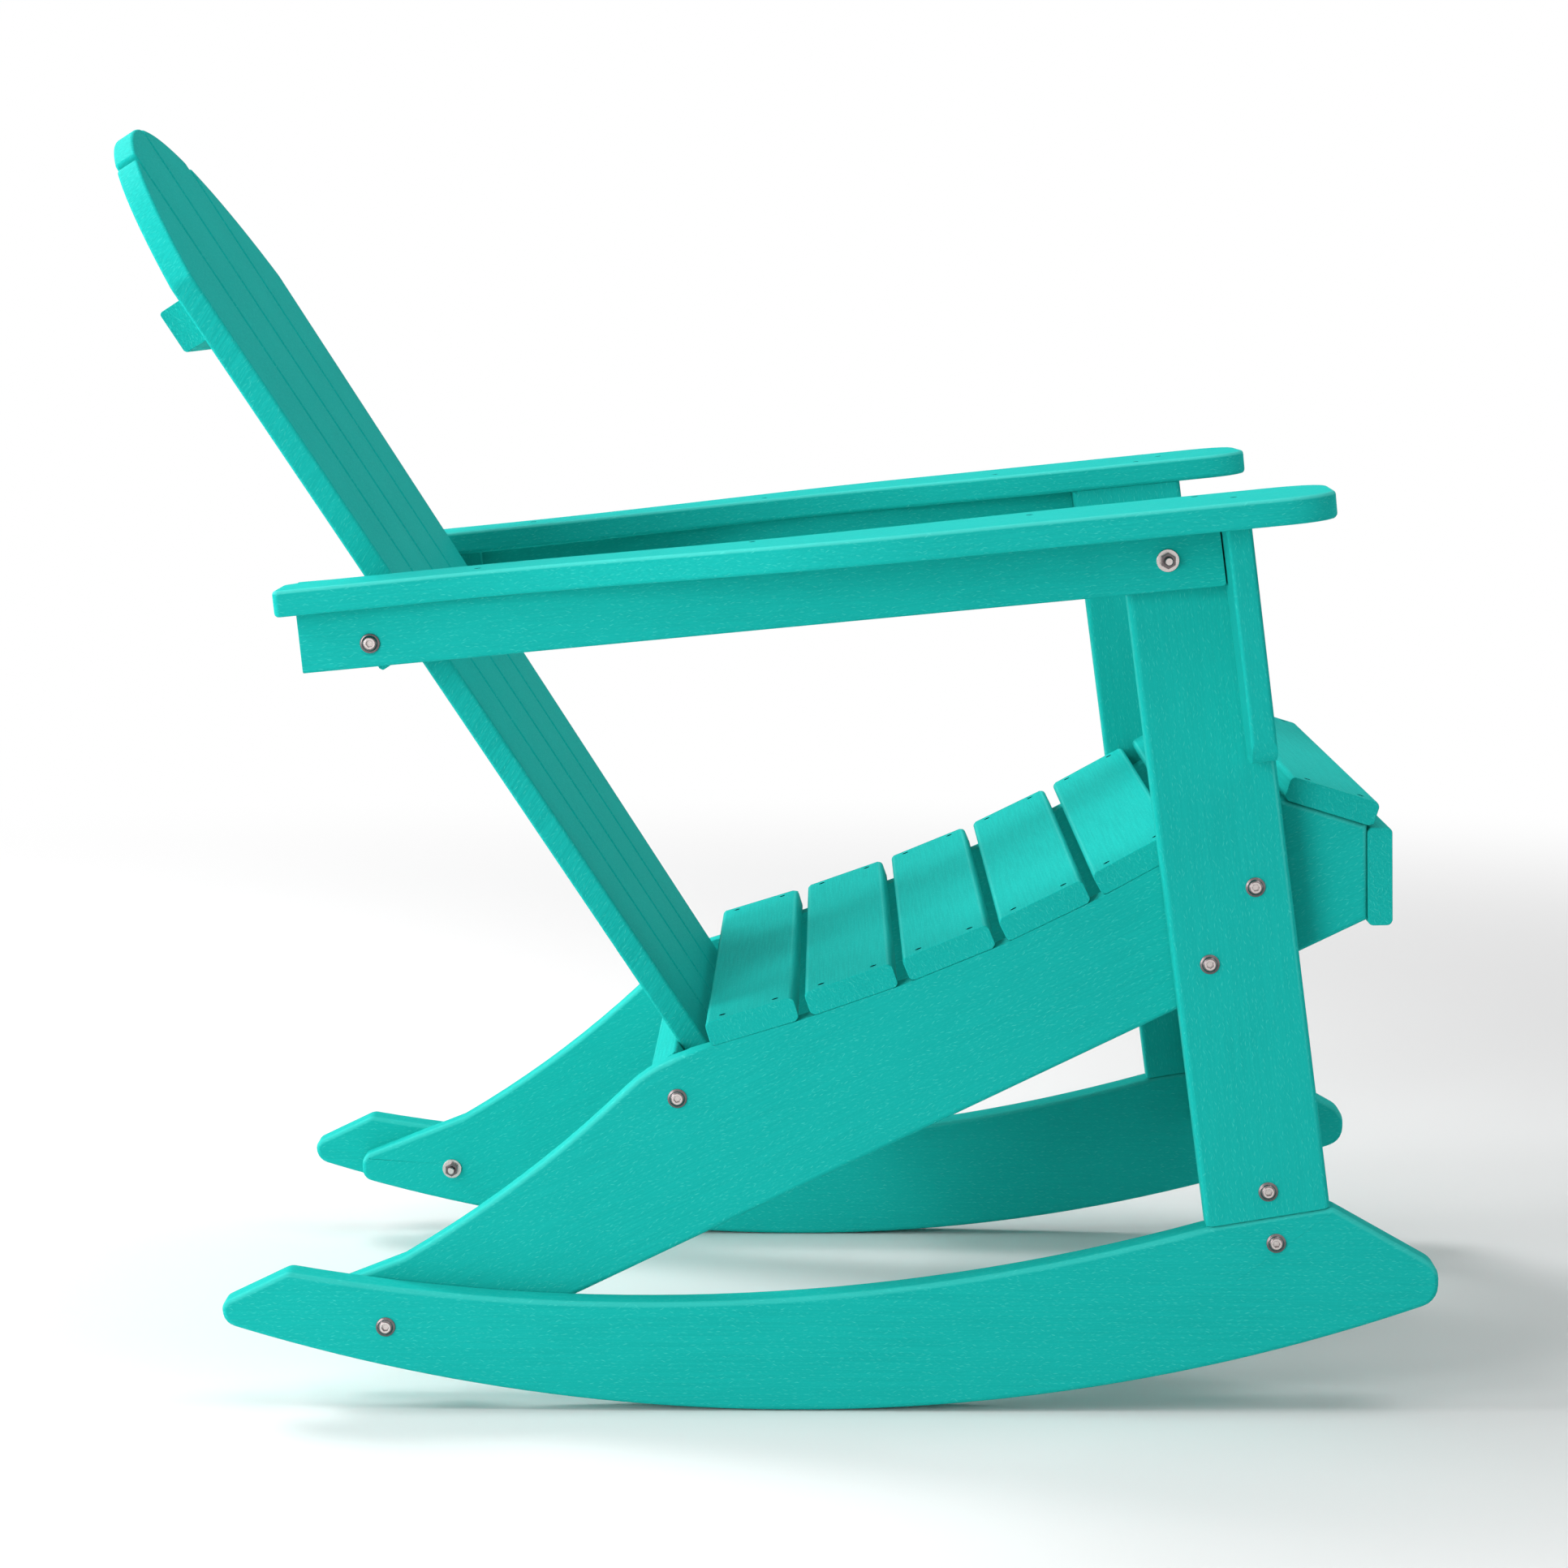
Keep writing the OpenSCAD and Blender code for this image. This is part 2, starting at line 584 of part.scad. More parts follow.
// Back slats: a fan cut along its grooves, under one arch
arch_centre = [0, back_len - arch_r];
function fan_edge(share, shift, s) = [share * fan_half(s) + shift, s];
function fan_top(share, shift) =
    let (foot = fan_edge(share, shift, -back_tail), head = fan_edge(share, shift, knee_len))
    leave(foot, (head - foot) / norm(head - foot), arch_centre, arch_r);
function slat_outline(i) =
    let (a = (i - 2) / 2, shift_a = i == 0 ? 0 : back_gap / 2)
    let (b = (i - 1) / 2, shift_b = i == 3 ? 0 : -back_gap / 2)
    let (top_a = fan_top(a, shift_a), top_b = fan_top(b, shift_b))
    let (from = angle_of(top_b - arch_centre), to = angle_of(top_a - arch_centre))
    let (arch = arc(arch_centre, arch_r, from, to, bow_steps))
    rounded(concat(
        [fan_edge(a, shift_a, -back_tail), fan_edge(b, shift_b, -back_tail)],
        [corner(top_b, i == 3 ? knee_r : slat_top_r)],
        [for (k = [1:bow_steps - 1]) arch[k]],
        [corner(top_a, i == 0 ? knee_r : slat_top_r)]
    ));
module back_screw_holes() {
    at_back_screws(lower_screw_s, cross_t) screw_hole(cross_screw_len);
    at_back_screws(cross_screw_s, cross_t) screw_hole(cross_screw_len);
    at_back_screws(upper_screw_s, upper_t) screw_hole(upper_screw_len);
}
module back_slat(i) color(lumber) placed() difference() {
    back_frame() translate([0, slat_t, 0]) rotate([90, 0, 0])
        linear_extrude(slat_t) polygon(slat_outline(i));
    back_screw_holes();
}
module back_slat_1() back_slat(0);
module back_slat_2() back_slat(1);
module back_slat_3() back_slat(2);
module back_slat_4() back_slat(3);

// Back rails, behind the slats
module rail_box(half, s, height, depth) back_frame()
    translate([-half, slat_t, s]) cube([2 * half, depth, height]);
module barrel_seat(depth) translate([0, 0, -depth])
    cylinder(d = barrel_d + 2 * bolt_gap, h = depth + barrel_len / 2 + bolt_gap, $fn = round_fn);
module at_barrel(s, x) back_frame() translate([x, slat_t + end_bolt_depth, s]) children();
lower_barrel_x = inner_x - barrel_in;
cross_barrel_x = rail_middle(to_arm(cross_centre).x) - arm_rail_t / 2 - barrel_in;
module lower_back_rail() color(lumber) placed() difference() {
    rail_box(inner_x, lower_rail_top - lower_rail_h, lower_rail_h, cross_t);
    both() across(lower_centre, seat_x) bolt_hole(end_bolt_len + over);
    both() at_barrel(lower_bolt_s, lower_barrel_x) barrel_seat(lower_rail_h);
    back_screw_holes();
}
module arm_back_rail() color(lumber) placed() difference() {
    rail_box(outer_x, cross_top - cross_h, cross_h, cross_t);
    both() toe_frame() translate([0, 0, -2 * arm_rail_h])
        cube([seat_x, arm_rail_rear + arm_front, 3 * arm_rail_h]);
    both() across(cross_centre, outer_x) bolt_hole(outer_x - cross_bolt_face + end_bolt_len + over);
    both() at_barrel(cross_bolt_s, cross_barrel_x) barrel_seat(cross_h);
    back_screw_holes();
}
module upper_back_rail() color(lumber) placed() difference() {
    rail_box(fan_half(upper_screw_s) - upper_inset, upper_rail_s, upper_h, upper_t);
    back_screw_holes();
}

// Arm rails and cleats: the rail is cut flat where it bears on the leg
arm_rail_len = (arm_rail_rear - arm_rail_start) / cos(arm_toe);
module spot_face(p, x) across(p, x) cylinder(d = spot_d, h = over, $fn = round_fn);
module arm_rail() color(lumber) difference() {
    toe_frame() translate([0, -over, -arm_rail_h]) cube([arm_rail_t, arm_rail_len + over, arm_rail_h]);
    board(seat_x - over, frame_t + over, leg_outline);
    leg_frame() translate([seat_x, bracket_gap - bracket_rear - leg_w, 0]) cube([seat_x, leg_w, arm_z]);
    for (p = [arm_bolt, cross_centre]) across(p, 2 * outer_x) bolt_hole(2 * outer_x);
    spot_face(arm_bolt, arm_bolt_face);
    spot_face(cross_centre, cross_bolt_face);
    at_arm_screws() screw_hole(screw_len);
    at_cleat_screws() screw_hole(cleat_screw_len);
}
module left_arm_rail() placed() arm_rail();
module right_arm_rail() placed() right() arm_rail();

module arm_cleat() color(lumber) difference() {
    toe_frame() translate([-arm_cleat_t, cleat_start, -arm_rail_h])
        cube([arm_cleat_t, 2 * arm_rail_h, arm_rail_h]);
    back_frame() translate([0, slat_t, 0]) cube([outer_x, back_len, back_len]);
    at_cleat_screws() screw_hole(cleat_screw_len);
}
module left_arm_cleat() placed() arm_cleat();
module right_arm_cleat() placed() right() arm_cleat();

// Armrests: outline of eased edges, in the plane of the armrest
function ease(t) = (1 - cos(180 * t)) / 2;
function eased(shares, start, step) = [
    for (k = [0:len(shares) - 2], i = [0:ease_steps - 1])
        let (a = shares[k], b = shares[k + 1], t = i / ease_steps)
        let (along = a.x + (b.x - a.x) * t, aside = a.y + (b.y - a.y) * ease(t))
            [start + step * aside, (arm_front + arm_rear) * along - arm_front]
];
function past_corner(edge) = [for (p = edge) if (p.y > arm_corner_r + 2 * arm_setback - arm_front) p];
function reversed(points) = [for (i = [len(points) - 1:-1:0]) points[i]];
arm_outer_x = outer_x + arm_overhang;
arm_rear_x = seat_x + arm_rear_overhang;
arm_inner_x = seat_x - arm_inner_rear;
arm_outer_edge = eased(arm_outer_shares, arm_rear_x, arm_outer_x - arm_rear_x);
arm_inner_edge = eased(arm_inner_shares, arm_inner_x, arm_inner_rear + arm_inner_bulge);
armrest_outline = rounded(concat(
    [corner(arm_outer_edge[0] + [0, arm_setback], arm_corner_r)],
    past_corner(arm_outer_edge),
    [corner([arm_rear_x, arm_rear], arm_rear_r)],
    [corner([arm_inner_x + arm_chamfer, arm_rear], arm_rear_r / 2)],
    [corner([arm_inner_x, arm_rear - arm_chamfer], arm_rear_r / 2)],
    reversed(past_corner(arm_inner_edge)),
    [corner(arm_inner_edge[0], arm_corner_r)]
));
module armrest() color(lumber) difference() {
    arm_frame() linear_extrude(armrest_t) polygon(armrest_outline);
    at_arm_screws() screw_hole(screw_len);
}
module left_armrest() placed() armrest();
module right_armrest() placed() right() armrest();

// Arm brackets, standing across the legs' outer faces
bracket_outline = rounded([
    [outer_x, bracket_foot_up], corner([outer_x + bracket_foot_w, bracket_foot_up], bracket_r),
    [outer_x + bracket_top_w, arm_z], [outer_x, arm_z]
]);
module arm_bracket() color(lumber) difference() {
    leg_frame() translate([0, -bracket_rear, 0]) rotate([90, 0, 0])
        linear_extrude(slat_t) polygon(bracket_outline);
    arm_frame() translate([0, -arm_front, 0]) cube([2 * outer_x, arm_front, arm_z]);
    at_bracket_screws() screw_hole(screw_len);
    at_arm_screws() screw_hole(screw_len);
}
module left_arm_bracket() placed() arm_bracket();
module right_arm_bracket() placed() right() arm_bracket();

// Bolts, nuts and washers
module rocker_rear_bolts() color(steel) placed() both() across(heel_bolt, outer_x) bolt(bolt_len);
module rocker_front_bolts() color(steel) placed() both() across(rocker_bolt, outer_x) bolt(bolt_len);
module leg_foot_bolts() color(steel) placed() both() across(foot_bolt, outer_x) bolt(bolt_len);
module leg_stringer_bolts() color(steel) placed() both()
    for (p = pair_bolts) across(p, outer_x) bolt(bolt_len);
module lower_rail_bolts() color(steel) placed() both() across(lower_centre, seat_x) bolt(end_bolt_len);
module arm_front_bolts() color(steel) placed() both()
    across(arm_bolt, seat_x) mirror([0, 0, 1]) bolt(bolt_len);
module arm_rear_bolts() color(steel) placed() both()
    across(cross_centre, cross_bolt_face) bolt(end_bolt_len);
inner_nuts = concat(pair_bolts, [heel_bolt, foot_bolt, rocker_bolt]);
module hex_nuts() color(steel) placed() both() {
    for (p = inner_nuts) across(p, inner_x - washer_t - nut_h) nut();
    across(arm_bolt, arm_bolt_face + washer_t) nut();
}
module washers() color(steel) placed() both() {
    for (p = inner_nuts) across(p, inner_x - washer_t) washer();
    across(arm_bolt, arm_bolt_face) washer();
}
module barrel_nut() difference() {
    translate([0, 0, -barrel_len / 2]) cylinder(d = barrel_d, h = barrel_len, $fn = round_fn);
    translate([-barrel_d, 0, 0]) rotate([0, 90, 0])
        cylinder(d = bolt_d + 2 * thread_gap, h = 2 * barrel_d, $fn = round_fn);
}
module barrel_nuts() color(steel) placed() both() {
    at_barrel(lower_bolt_s, lower_barrel_x) barrel_nut();
    at_barrel(cross_bolt_s, cross_barrel_x) barrel_nut();
}

// Screws
module seat_screws() color(steel) placed() for (i = [0:last_slat]) at_seat_screws(i) screw(screw_len);
module apron_screws() color(steel) placed() both() at_apron_screws() screw(screw_len);
module back_screws() color(steel) placed() {
    at_back_screws(lower_screw_s, cross_t) screw(cross_screw_len);
    at_back_screws(cross_screw_s, cross_t) screw(cross_screw_len);
    at_back_screws(upper_screw_s, upper_t) screw(upper_screw_len);
}
module armrest_screws() color(steel) placed() both() at_arm_screws() screw(screw_len);
module bracket_screws() color(steel) placed() both() at_bracket_screws() screw(screw_len);
module cleat_screws() color(steel) placed() both() at_cleat_screws() screw(cleat_screw_len);

right_rocker();
left_rocker();
right_stringer();
left_stringer();
right_front_leg();
left_front_leg();
right_foot_cleat();
left_foot_cleat();
seat_slat_1();
seat_slat_2();
seat_slat_3();
seat_slat_4();
seat_slat_5();
seat_slat_6();
front_seat_slat();
front_apron();
back_slat_1();
back_slat_2();
back_slat_3();
back_slat_4();
lower_back_rail();
arm_back_rail();
upper_back_rail();
right_arm_rail();
left_arm_rail();
right_arm_cleat();
left_arm_cleat();
right_armrest();
left_armrest();
right_arm_bracket();
left_arm_bracket();
rocker_rear_bolts();
rocker_front_bolts();
leg_foot_bolts();
leg_stringer_bolts();
lower_rail_bolts();
arm_front_bolts();
arm_rear_bolts();
hex_nuts();
washers();
barrel_nuts();
seat_screws();
apron_screws();
back_screws();
armrest_screws();
bracket_screws();
cleat_screws();
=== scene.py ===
"""Looks of a rocking adirondack chair of HDPE lumber boards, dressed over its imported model, in metres."""

import logging
import math
from dataclasses import dataclass, field
from enum import Enum
from typing import Callable

import bmesh
import bpy
from mathutils import Matrix, Vector


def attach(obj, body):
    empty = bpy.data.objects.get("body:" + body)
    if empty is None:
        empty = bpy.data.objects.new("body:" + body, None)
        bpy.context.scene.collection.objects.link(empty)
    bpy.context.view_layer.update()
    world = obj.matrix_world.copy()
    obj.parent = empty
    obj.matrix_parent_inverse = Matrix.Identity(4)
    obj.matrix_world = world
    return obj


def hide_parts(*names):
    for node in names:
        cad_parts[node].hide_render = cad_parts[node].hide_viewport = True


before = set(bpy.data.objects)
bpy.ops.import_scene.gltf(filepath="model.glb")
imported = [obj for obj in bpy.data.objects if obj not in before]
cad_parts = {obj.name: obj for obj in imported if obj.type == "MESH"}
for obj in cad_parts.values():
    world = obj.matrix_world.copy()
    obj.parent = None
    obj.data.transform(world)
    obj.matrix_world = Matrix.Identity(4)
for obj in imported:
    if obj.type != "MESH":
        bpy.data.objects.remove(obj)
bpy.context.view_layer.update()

MM = 0.001
BODY = "root"
# Slopes of the boards in the side view, in degrees from level
LEG_SLOPE = 90 - 7.75
BACK_SLOPE = 90 - 33
ARM_SLOPE = 5.74
STRINGER_SLOPE = 25.93
# Roll in degrees of the pattern on boards across the chair, so that no face lies level with its cells
ACROSS_ROLL = 30.0
# Least or most share of an edge's direction that runs across the chair, in the side view, or along a slope
CROSS_SHARE = 0.99
SIDE_SHARE = 0.3
SLOPE_SHARE = 0.98
# Points of a copied node nearer than this are one, in metres
MERGE = 0.002 * MM
# Radius in millimetres of the sharp edges that are only broken
BROKEN_EDGE = 0.4

log = logging.getLogger("chair")


def linear_colour(code: str) -> tuple[float, float, float, float]:
    """Turns an sRGB hex colour into linear light.

    Args:
        code: the colour, such as "#1fb5a8".

    Returns:
        Red, green, blue and an alpha of 1.
    """
    parts = [int(code[i:i + 2], 16) / 255 for i in (1, 3, 5)]
    light = [p / 12.92 if p <= 0.04045 else ((p + 0.055) / 1.055) ** 2.4 for p in parts]
    return (light[0], light[1], light[2], 1.0)


def add_node(tree: bpy.types.NodeTree, kind: str, inputs: dict | None = None,
             **settings: object) -> bpy.types.Node:
    """Adds a node with its settings, values and links.

    Args:
        tree: the node tree that takes the node.
        kind: the node's type.
        inputs: a value or a socket to link, by the input's name or number.
        settings: properties of the node.

    Returns:
        The new node.
    """
    node = tree.nodes.new(kind)
    for name, value in settings.items():
        setattr(node, name, value)
    for name, value in (inputs or {}).items():
        if isinstance(value, bpy.types.NodeSocket):
            tree.links.new(value, node.inputs[name])
        else:
            node.inputs[name].default_value = value
    return node


def seen_ray(tree: bpy.types.NodeTree) -> bpy.types.NodeSocket:
    """Adds a value that is 1 where the camera, a reflection or a clear surface looks, and 0 for light.

    Args:
        tree: the node tree that takes the nodes.

    Returns:
        The value's socket.
    """
    rays = add_node(tree, "ShaderNodeLightPath").outputs
    seen = add_node(tree, "ShaderNodeMath", {
        0: rays["Is Camera Ray"], 1: rays["Is Glossy Ray"]}, operation="MAXIMUM").outputs[0]
    return add_node(tree, "ShaderNodeMath", {
        0: seen, 1: rays["Is Transmission Ray"]}, operation="MAXIMUM").outputs[0]


def new_material(name: str) -> tuple[bpy.types.Material, bpy.types.NodeTree, bpy.types.Node]:
    """Adds a material with nodes.

    Args:
        name: the material's name.

    Returns:
        The material, its node tree and its shader.
    """
    made = bpy.data.materials.new(name)
    made.use_nodes = True
    return made, made.node_tree, made.node_tree.nodes["Principled BSDF"]


class Grain(Enum):
    """Direction of a board's grain, as its slope in the side view, or across the chair."""

    ACROSS = None
    LEVEL = 0.0
    LEG = LEG_SLOPE
    BACK = -BACK_SLOPE
    ARM = -ARM_SLOPE
    STRINGER = -STRINGER_SLOPE

    def turn(self) -> tuple[float, float, float]:
        """Angles that bring the grain's direction to X, and the board's width to Y."""
        if self is Grain.ACROSS:
            return (math.radians(ACROSS_ROLL), 0.0, 0.0)
        slope = math.radians(self.value)
        along = Vector((0, math.cos(slope), math.sin(slope)))
        aside = Vector((0, -math.sin(slope), math.cos(slope)))
        return tuple(Matrix((along, aside, (1, 0, 0))).to_euler("XYZ"))


@dataclass(frozen=True)
class HdpeLumber:
    """HDPE lumber, extruded and wire-brushed: a matt skin with short pale hairs and faint brush lines."""

    grain: Grain
    # How much the long lines darken the skin, and how far the hairs lean off the grain, in degrees
    line_depth: float = 0.25
    lean: float = 28.0
    colour: str = "#1cb8b0"
    hair_colour: str = "#5fe2d8"
    line_colour: str = "#06908b"
    # Upper arrises are painted with a pale highlight and made smoother than the brushed faces, and the walls
    # of screw holes are painted with shade
    arris_highlight_colour: str = "#74ece2"
    bore_shade_colour: str = "#052a2b"
    roughness: float = 0.62
    arris_roughness: float = 0.4
    specular: float = 0.01
    # Sizes of the pattern in millimetres: hairs are drawn about twice as wide as real ones, to show
    hair_length: float = 5.0
    hair_width: float = 0.8
    fine_length: float = 3.2
    fine_width: float = 0.6
    line_length: float = 60.0
    line_width: float = 1.1
    cloud_size: float = 60.0
    # Hairs stand proud and brush lines lie deep by a few hundredths of a millimetre
    relief_depth: float = 0.03
    # Strength of the hairs' colour, and of the fine hairs against the long ones
    hair_share: float = 0.32
    fine_share: float = 0.5
    # Room round a hair and its most bend, as shares of its length, and where its soft edge starts
    cell_shares: tuple[float, float, float] = (1.25, 0.75, 0.75)
    bend_share: float = 0.5
    soft_share: float = 0.3
    # Noise levels between which a brush line comes up
    line_band: tuple[float, float] = (0.62, 0.38)
    # A small push gives a sawn end a direction too, where the grain meets it head on
    end_push: tuple[float, float, float] = (0, 0.05, 0)

    def hairs(self, tree: bpy.types.NodeTree, place: bpy.types.NodeSocket,
              ways: tuple[bpy.types.NodeSocket, ...], length: float, width: float) -> bpy.types.NodeSocket:
        """Adds one curved hair to each cell of a Voronoi pattern, leaning a little off the grain.

        Args:
            tree: the material's node tree.
            place: coordinates with the grain along X.
            ways: directions in the surface, along the grain and across it.
            length: a hair's length in millimetres.
            width: a hair's width in millimetres.

        Returns:
            The hairs' strength, from 0 to 1.
        """
        room = tuple(share * length * MM for share in self.cell_shares)
        most_lean = math.radians(self.lean)
        most_bend = self.bend_share / (length * MM)
        scaled = add_node(tree, "ShaderNodeMapping", {
            "Vector": place, "Scale": tuple(1 / r for r in room)}).outputs["Vector"]
        cell = add_node(tree, "ShaderNodeTexVoronoi", {"Vector": scaled, "Scale": 1.0}).outputs
        offset = add_node(tree, "ShaderNodeVectorMath", {
            0: scaled, 1: cell["Position"]}, operation="SUBTRACT").outputs[0]
        offset = add_node(tree, "ShaderNodeVectorMath", {
            0: offset, 1: room}, operation="MULTIPLY").outputs[0]
        along = add_node(tree, "ShaderNodeVectorMath", {0: offset, 1: ways[0]}, operation="DOT_PRODUCT")
        aside = add_node(tree, "ShaderNodeVectorMath", {0: offset, 1: ways[1]}, operation="DOT_PRODUCT")
        along, aside = along.outputs["Value"], aside.outputs["Value"]
        chance = add_node(tree, "ShaderNodeSeparateColor", {"Color": cell["Color"]}).outputs
        lean = add_node(tree, "ShaderNodeMapRange", {
            "Value": chance[0], "To Min": -most_lean, "To Max": most_lean}).outputs[0]
        flat = add_node(tree, "ShaderNodeCombineXYZ", {0: along, 1: aside}).outputs[0]
        turned = add_node(tree, "ShaderNodeVectorRotate", {
            "Vector": flat, "Angle": lean}, rotation_type="Z_AXIS").outputs[0]
        parts = add_node(tree, "ShaderNodeSeparateXYZ", {0: turned}).outputs
        bend = add_node(tree, "ShaderNodeMapRange", {
            "Value": chance[1], "To Min": -most_bend, "To Max": most_bend}).outputs[0]
        bent = add_node(tree, "ShaderNodeMath", {0: parts[0], 1: bend}, operation="MULTIPLY").outputs[0]
        drift = add_node(tree, "ShaderNodeMath", {
            0: parts[0], 1: bent, 2: parts[1]}, operation="MULTIPLY_ADD").outputs[0]
        reach = add_node(tree, "ShaderNodeCombineXYZ", {0: parts[0], 1: drift}).outputs[0]
        reach = add_node(tree, "ShaderNodeVectorMath", {
            0: reach, 1: (2 / (length * MM), 2 / (width * MM), 0)}, operation="MULTIPLY").outputs[0]
        reach = add_node(tree, "ShaderNodeVectorMath", {0: reach}, operation="LENGTH").outputs["Value"]
        shape = add_node(tree, "ShaderNodeMapRange", {
            "Value": reach, "From Min": 1.0, "From Max": self.soft_share},
            interpolation_type="SMOOTHSTEP").outputs[0]
        return add_node(tree, "ShaderNodeMath", {0: shape, 1: chance[2]}, operation="MULTIPLY").outputs[0]

    def surface_ways(self, tree: bpy.types.NodeTree) -> tuple[bpy.types.NodeSocket, bpy.types.NodeSocket]:
        """Adds directions in the surface, along and across the grain, or along and across a sawn end.

        Args:
            tree: the material's node tree.

        Returns:
            The sockets of both directions.
        """
        normal = add_node(tree, "ShaderNodeTexCoord").outputs["Normal"]
        normal = add_node(tree, "ShaderNodeMapping", {
            "Vector": normal, "Rotation": self.grain.turn()}, vector_type="VECTOR").outputs[0]
        aside = add_node(tree, "ShaderNodeVectorMath", {
            0: (1, 0, 0), 1: normal}, operation="CROSS_PRODUCT").outputs[0]
        aside = add_node(tree, "ShaderNodeVectorMath", {
            0: aside, 1: self.end_push}, operation="ADD").outputs[0]
        aside = add_node(tree, "ShaderNodeVectorMath", {0: aside}, operation="NORMALIZE").outputs[0]
        along = add_node(tree, "ShaderNodeVectorMath", {
            0: aside, 1: normal}, operation="CROSS_PRODUCT").outputs[0]
        return along, aside

    def material(self) -> bpy.types.Material:
        """Builds the finish for boards of this grain, or finds it."""
        name = f"HDPE_lumber_{self.grain.name.lower()}_{self.lean:.0f}"
        if name in bpy.data.materials:
            return bpy.data.materials[name]
        made, tree, shader = new_material(name)
        place = add_node(tree, "ShaderNodeTexCoord").outputs["Object"]
        place = add_node(tree, "ShaderNodeMapping", {
            "Vector": place, "Rotation": self.grain.turn()}).outputs[0]
        ways = self.surface_ways(tree)
        long_hairs = self.hairs(tree, place, ways, self.hair_length, self.hair_width)
        fine_hairs = self.hairs(tree, place, ways, self.fine_length, self.fine_width)
        hair = add_node(tree, "ShaderNodeMath", {
            0: fine_hairs, 1: self.fine_share, 2: long_hairs}, operation="MULTIPLY_ADD").outputs[0]
        clouds = add_node(tree, "ShaderNodeTexNoise", {
            "Vector": place, "Scale": 1 / (self.cloud_size * MM), "Detail": 2.0}).outputs["Fac"]
        stretched = add_node(tree, "ShaderNodeMapping", {"Vector": place, "Scale": (
            1 / (self.line_length * MM), 1 / (self.line_width * MM), 1 / (self.line_width * MM))}).outputs[0]
        lines = add_node(tree, "ShaderNodeTexNoise", {
            "Vector": stretched, "Scale": 1.0, "Detail": 2.0, "Distortion": 0.2}).outputs["Fac"]
        line = add_node(tree, "ShaderNodeMapRange", {
            "Value": lines, "From Min": self.line_band[0], "From Max": self.line_band[1]},
            interpolation_type="SMOOTHSTEP").outputs[0]
        wear_and_highlight = add_node(tree, "ShaderNodeMath", {0: line, 1: clouds}, operation="MULTIPLY").outputs[0]
        # The clouds are about one half, so the depth is doubled
        wear_and_highlight = add_node(tree, "ShaderNodeMath", {
            0: wear_and_highlight, 1: 2 * self.line_depth}, operation="MULTIPLY").outputs[0]
        colours = {6: linear_colour(self.colour), 7: linear_colour(self.line_colour)}
        skin = add_node(tree, "ShaderNodeMix", {"Factor": wear_and_highlight, **colours}, data_type="RGBA")
        share = add_node(tree, "ShaderNodeMath", {
            0: hair, 1: self.hair_share}, operation="MULTIPLY", use_clamp=True).outputs[0]
        coloured = add_node(tree, "ShaderNodeMix", {
            "Factor": share, 6: skin.outputs[2], 7: linear_colour(self.hair_colour)}, data_type="RGBA")
        # This attribute carries the painted highlight on the upper arrises: it mixes in the pale colour and
        # lowers the roughness
        arris = add_node(tree, "ShaderNodeAttribute", attribute_name="arris").outputs["Fac"]
        coloured = add_node(tree, "ShaderNodeMix", {
            "Factor": arris, 6: coloured.outputs[2], 7: linear_colour(self.arris_highlight_colour)}, data_type="RGBA")
        # The walls of the screw holes are painted with dark shade
        bore = add_node(tree, "ShaderNodeAttribute", attribute_name="bore").outputs["Fac"]
        coloured = add_node(tree, "ShaderNodeMix", {
            "Factor": bore, 6: coloured.outputs[2], 7: linear_colour(self.bore_shade_colour)}, data_type="RGBA")
        rough = add_node(tree, "ShaderNodeMapRange", {
            "Value": arris, "To Min": self.roughness, "To Max": self.arris_roughness}).outputs[0]
        tree.links.new(rough, shader.inputs["Roughness"])
        relief = add_node(tree, "ShaderNodeMath", {0: hair, 1: line}, operation="SUBTRACT").outputs[0]
        bump = add_node(tree, "ShaderNodeBump", {
            "Height": relief, "Distance": self.relief_depth * MM, "Strength": 1.0})
        tree.links.new(coloured.outputs[2], shader.inputs["Base Color"])
        tree.links.new(bump.outputs["Normal"], shader.inputs["Normal"])
        shader.inputs["Specular IOR Level"].default_value = self.specular
        made.diffuse_color = linear_colour(self.colour)
        return made


@dataclass(frozen=True)
class StainlessSteel:
    """A2 stainless steel, stamped flat and tumbled: a light warm grey metal with soft fine marks."""

    name: str = "stainless_steel_tumbled"
    colour: str = "#cfc6c3"
    roughness: float = 0.25
    # Size and depth of the tumbling marks in millimetres, and how far they change the roughness
    mark_size: float = 0.8
    mark_depth: float = 0.01
    smoother: float = 0.07
    rougher: float = 0.1
    # Noise levels between which a mark comes up
    mark_band: tuple[float, float] = (0.3, 0.7)

    def material(self) -> bpy.types.Material:
        """Builds the finish, or finds it."""
        if self.name in bpy.data.materials:
            return bpy.data.materials[self.name]
        made, tree, shader = new_material(self.name)
        place = add_node(tree, "ShaderNodeTexCoord").outputs["Object"]
        marks = add_node(tree, "ShaderNodeTexNoise", {
            "Vector": place, "Scale": 1 / (self.mark_size * MM), "Detail": 3.0,
            "Roughness": 0.6}).outputs["Fac"]
        rough = add_node(tree, "ShaderNodeMapRange", {
            "Value": marks, "From Min": self.mark_band[0], "From Max": self.mark_band[1],
            "To Min": self.roughness - self.smoother, "To Max": self.roughness + self.rougher}).outputs[0]
        bump = add_node(tree, "ShaderNodeBump", {
            "Height": marks, "Distance": self.mark_depth * MM, "Strength": 1.0})
        tree.links.new(rough, shader.inputs["Roughness"])
        tree.links.new(bump.outputs["Normal"], shader.inputs["Normal"])
        shader.inputs["Base Color"].default_value = linear_colour(self.colour)
        shader.inputs["Metallic"].default_value = 1.0
        made.diffuse_color = linear_colour(self.colour)
        return made


@dataclass(frozen=True)
class ShadedStainlessSteel(StainlessSteel):
    """The same steel painted with shade: a darker, a little rougher copy for the flanks of heads and for
    nuts.
    """

    name: str = "stainless_steel_cold_formed"
    colour: str = "#71696a"
    roughness: float = 0.3


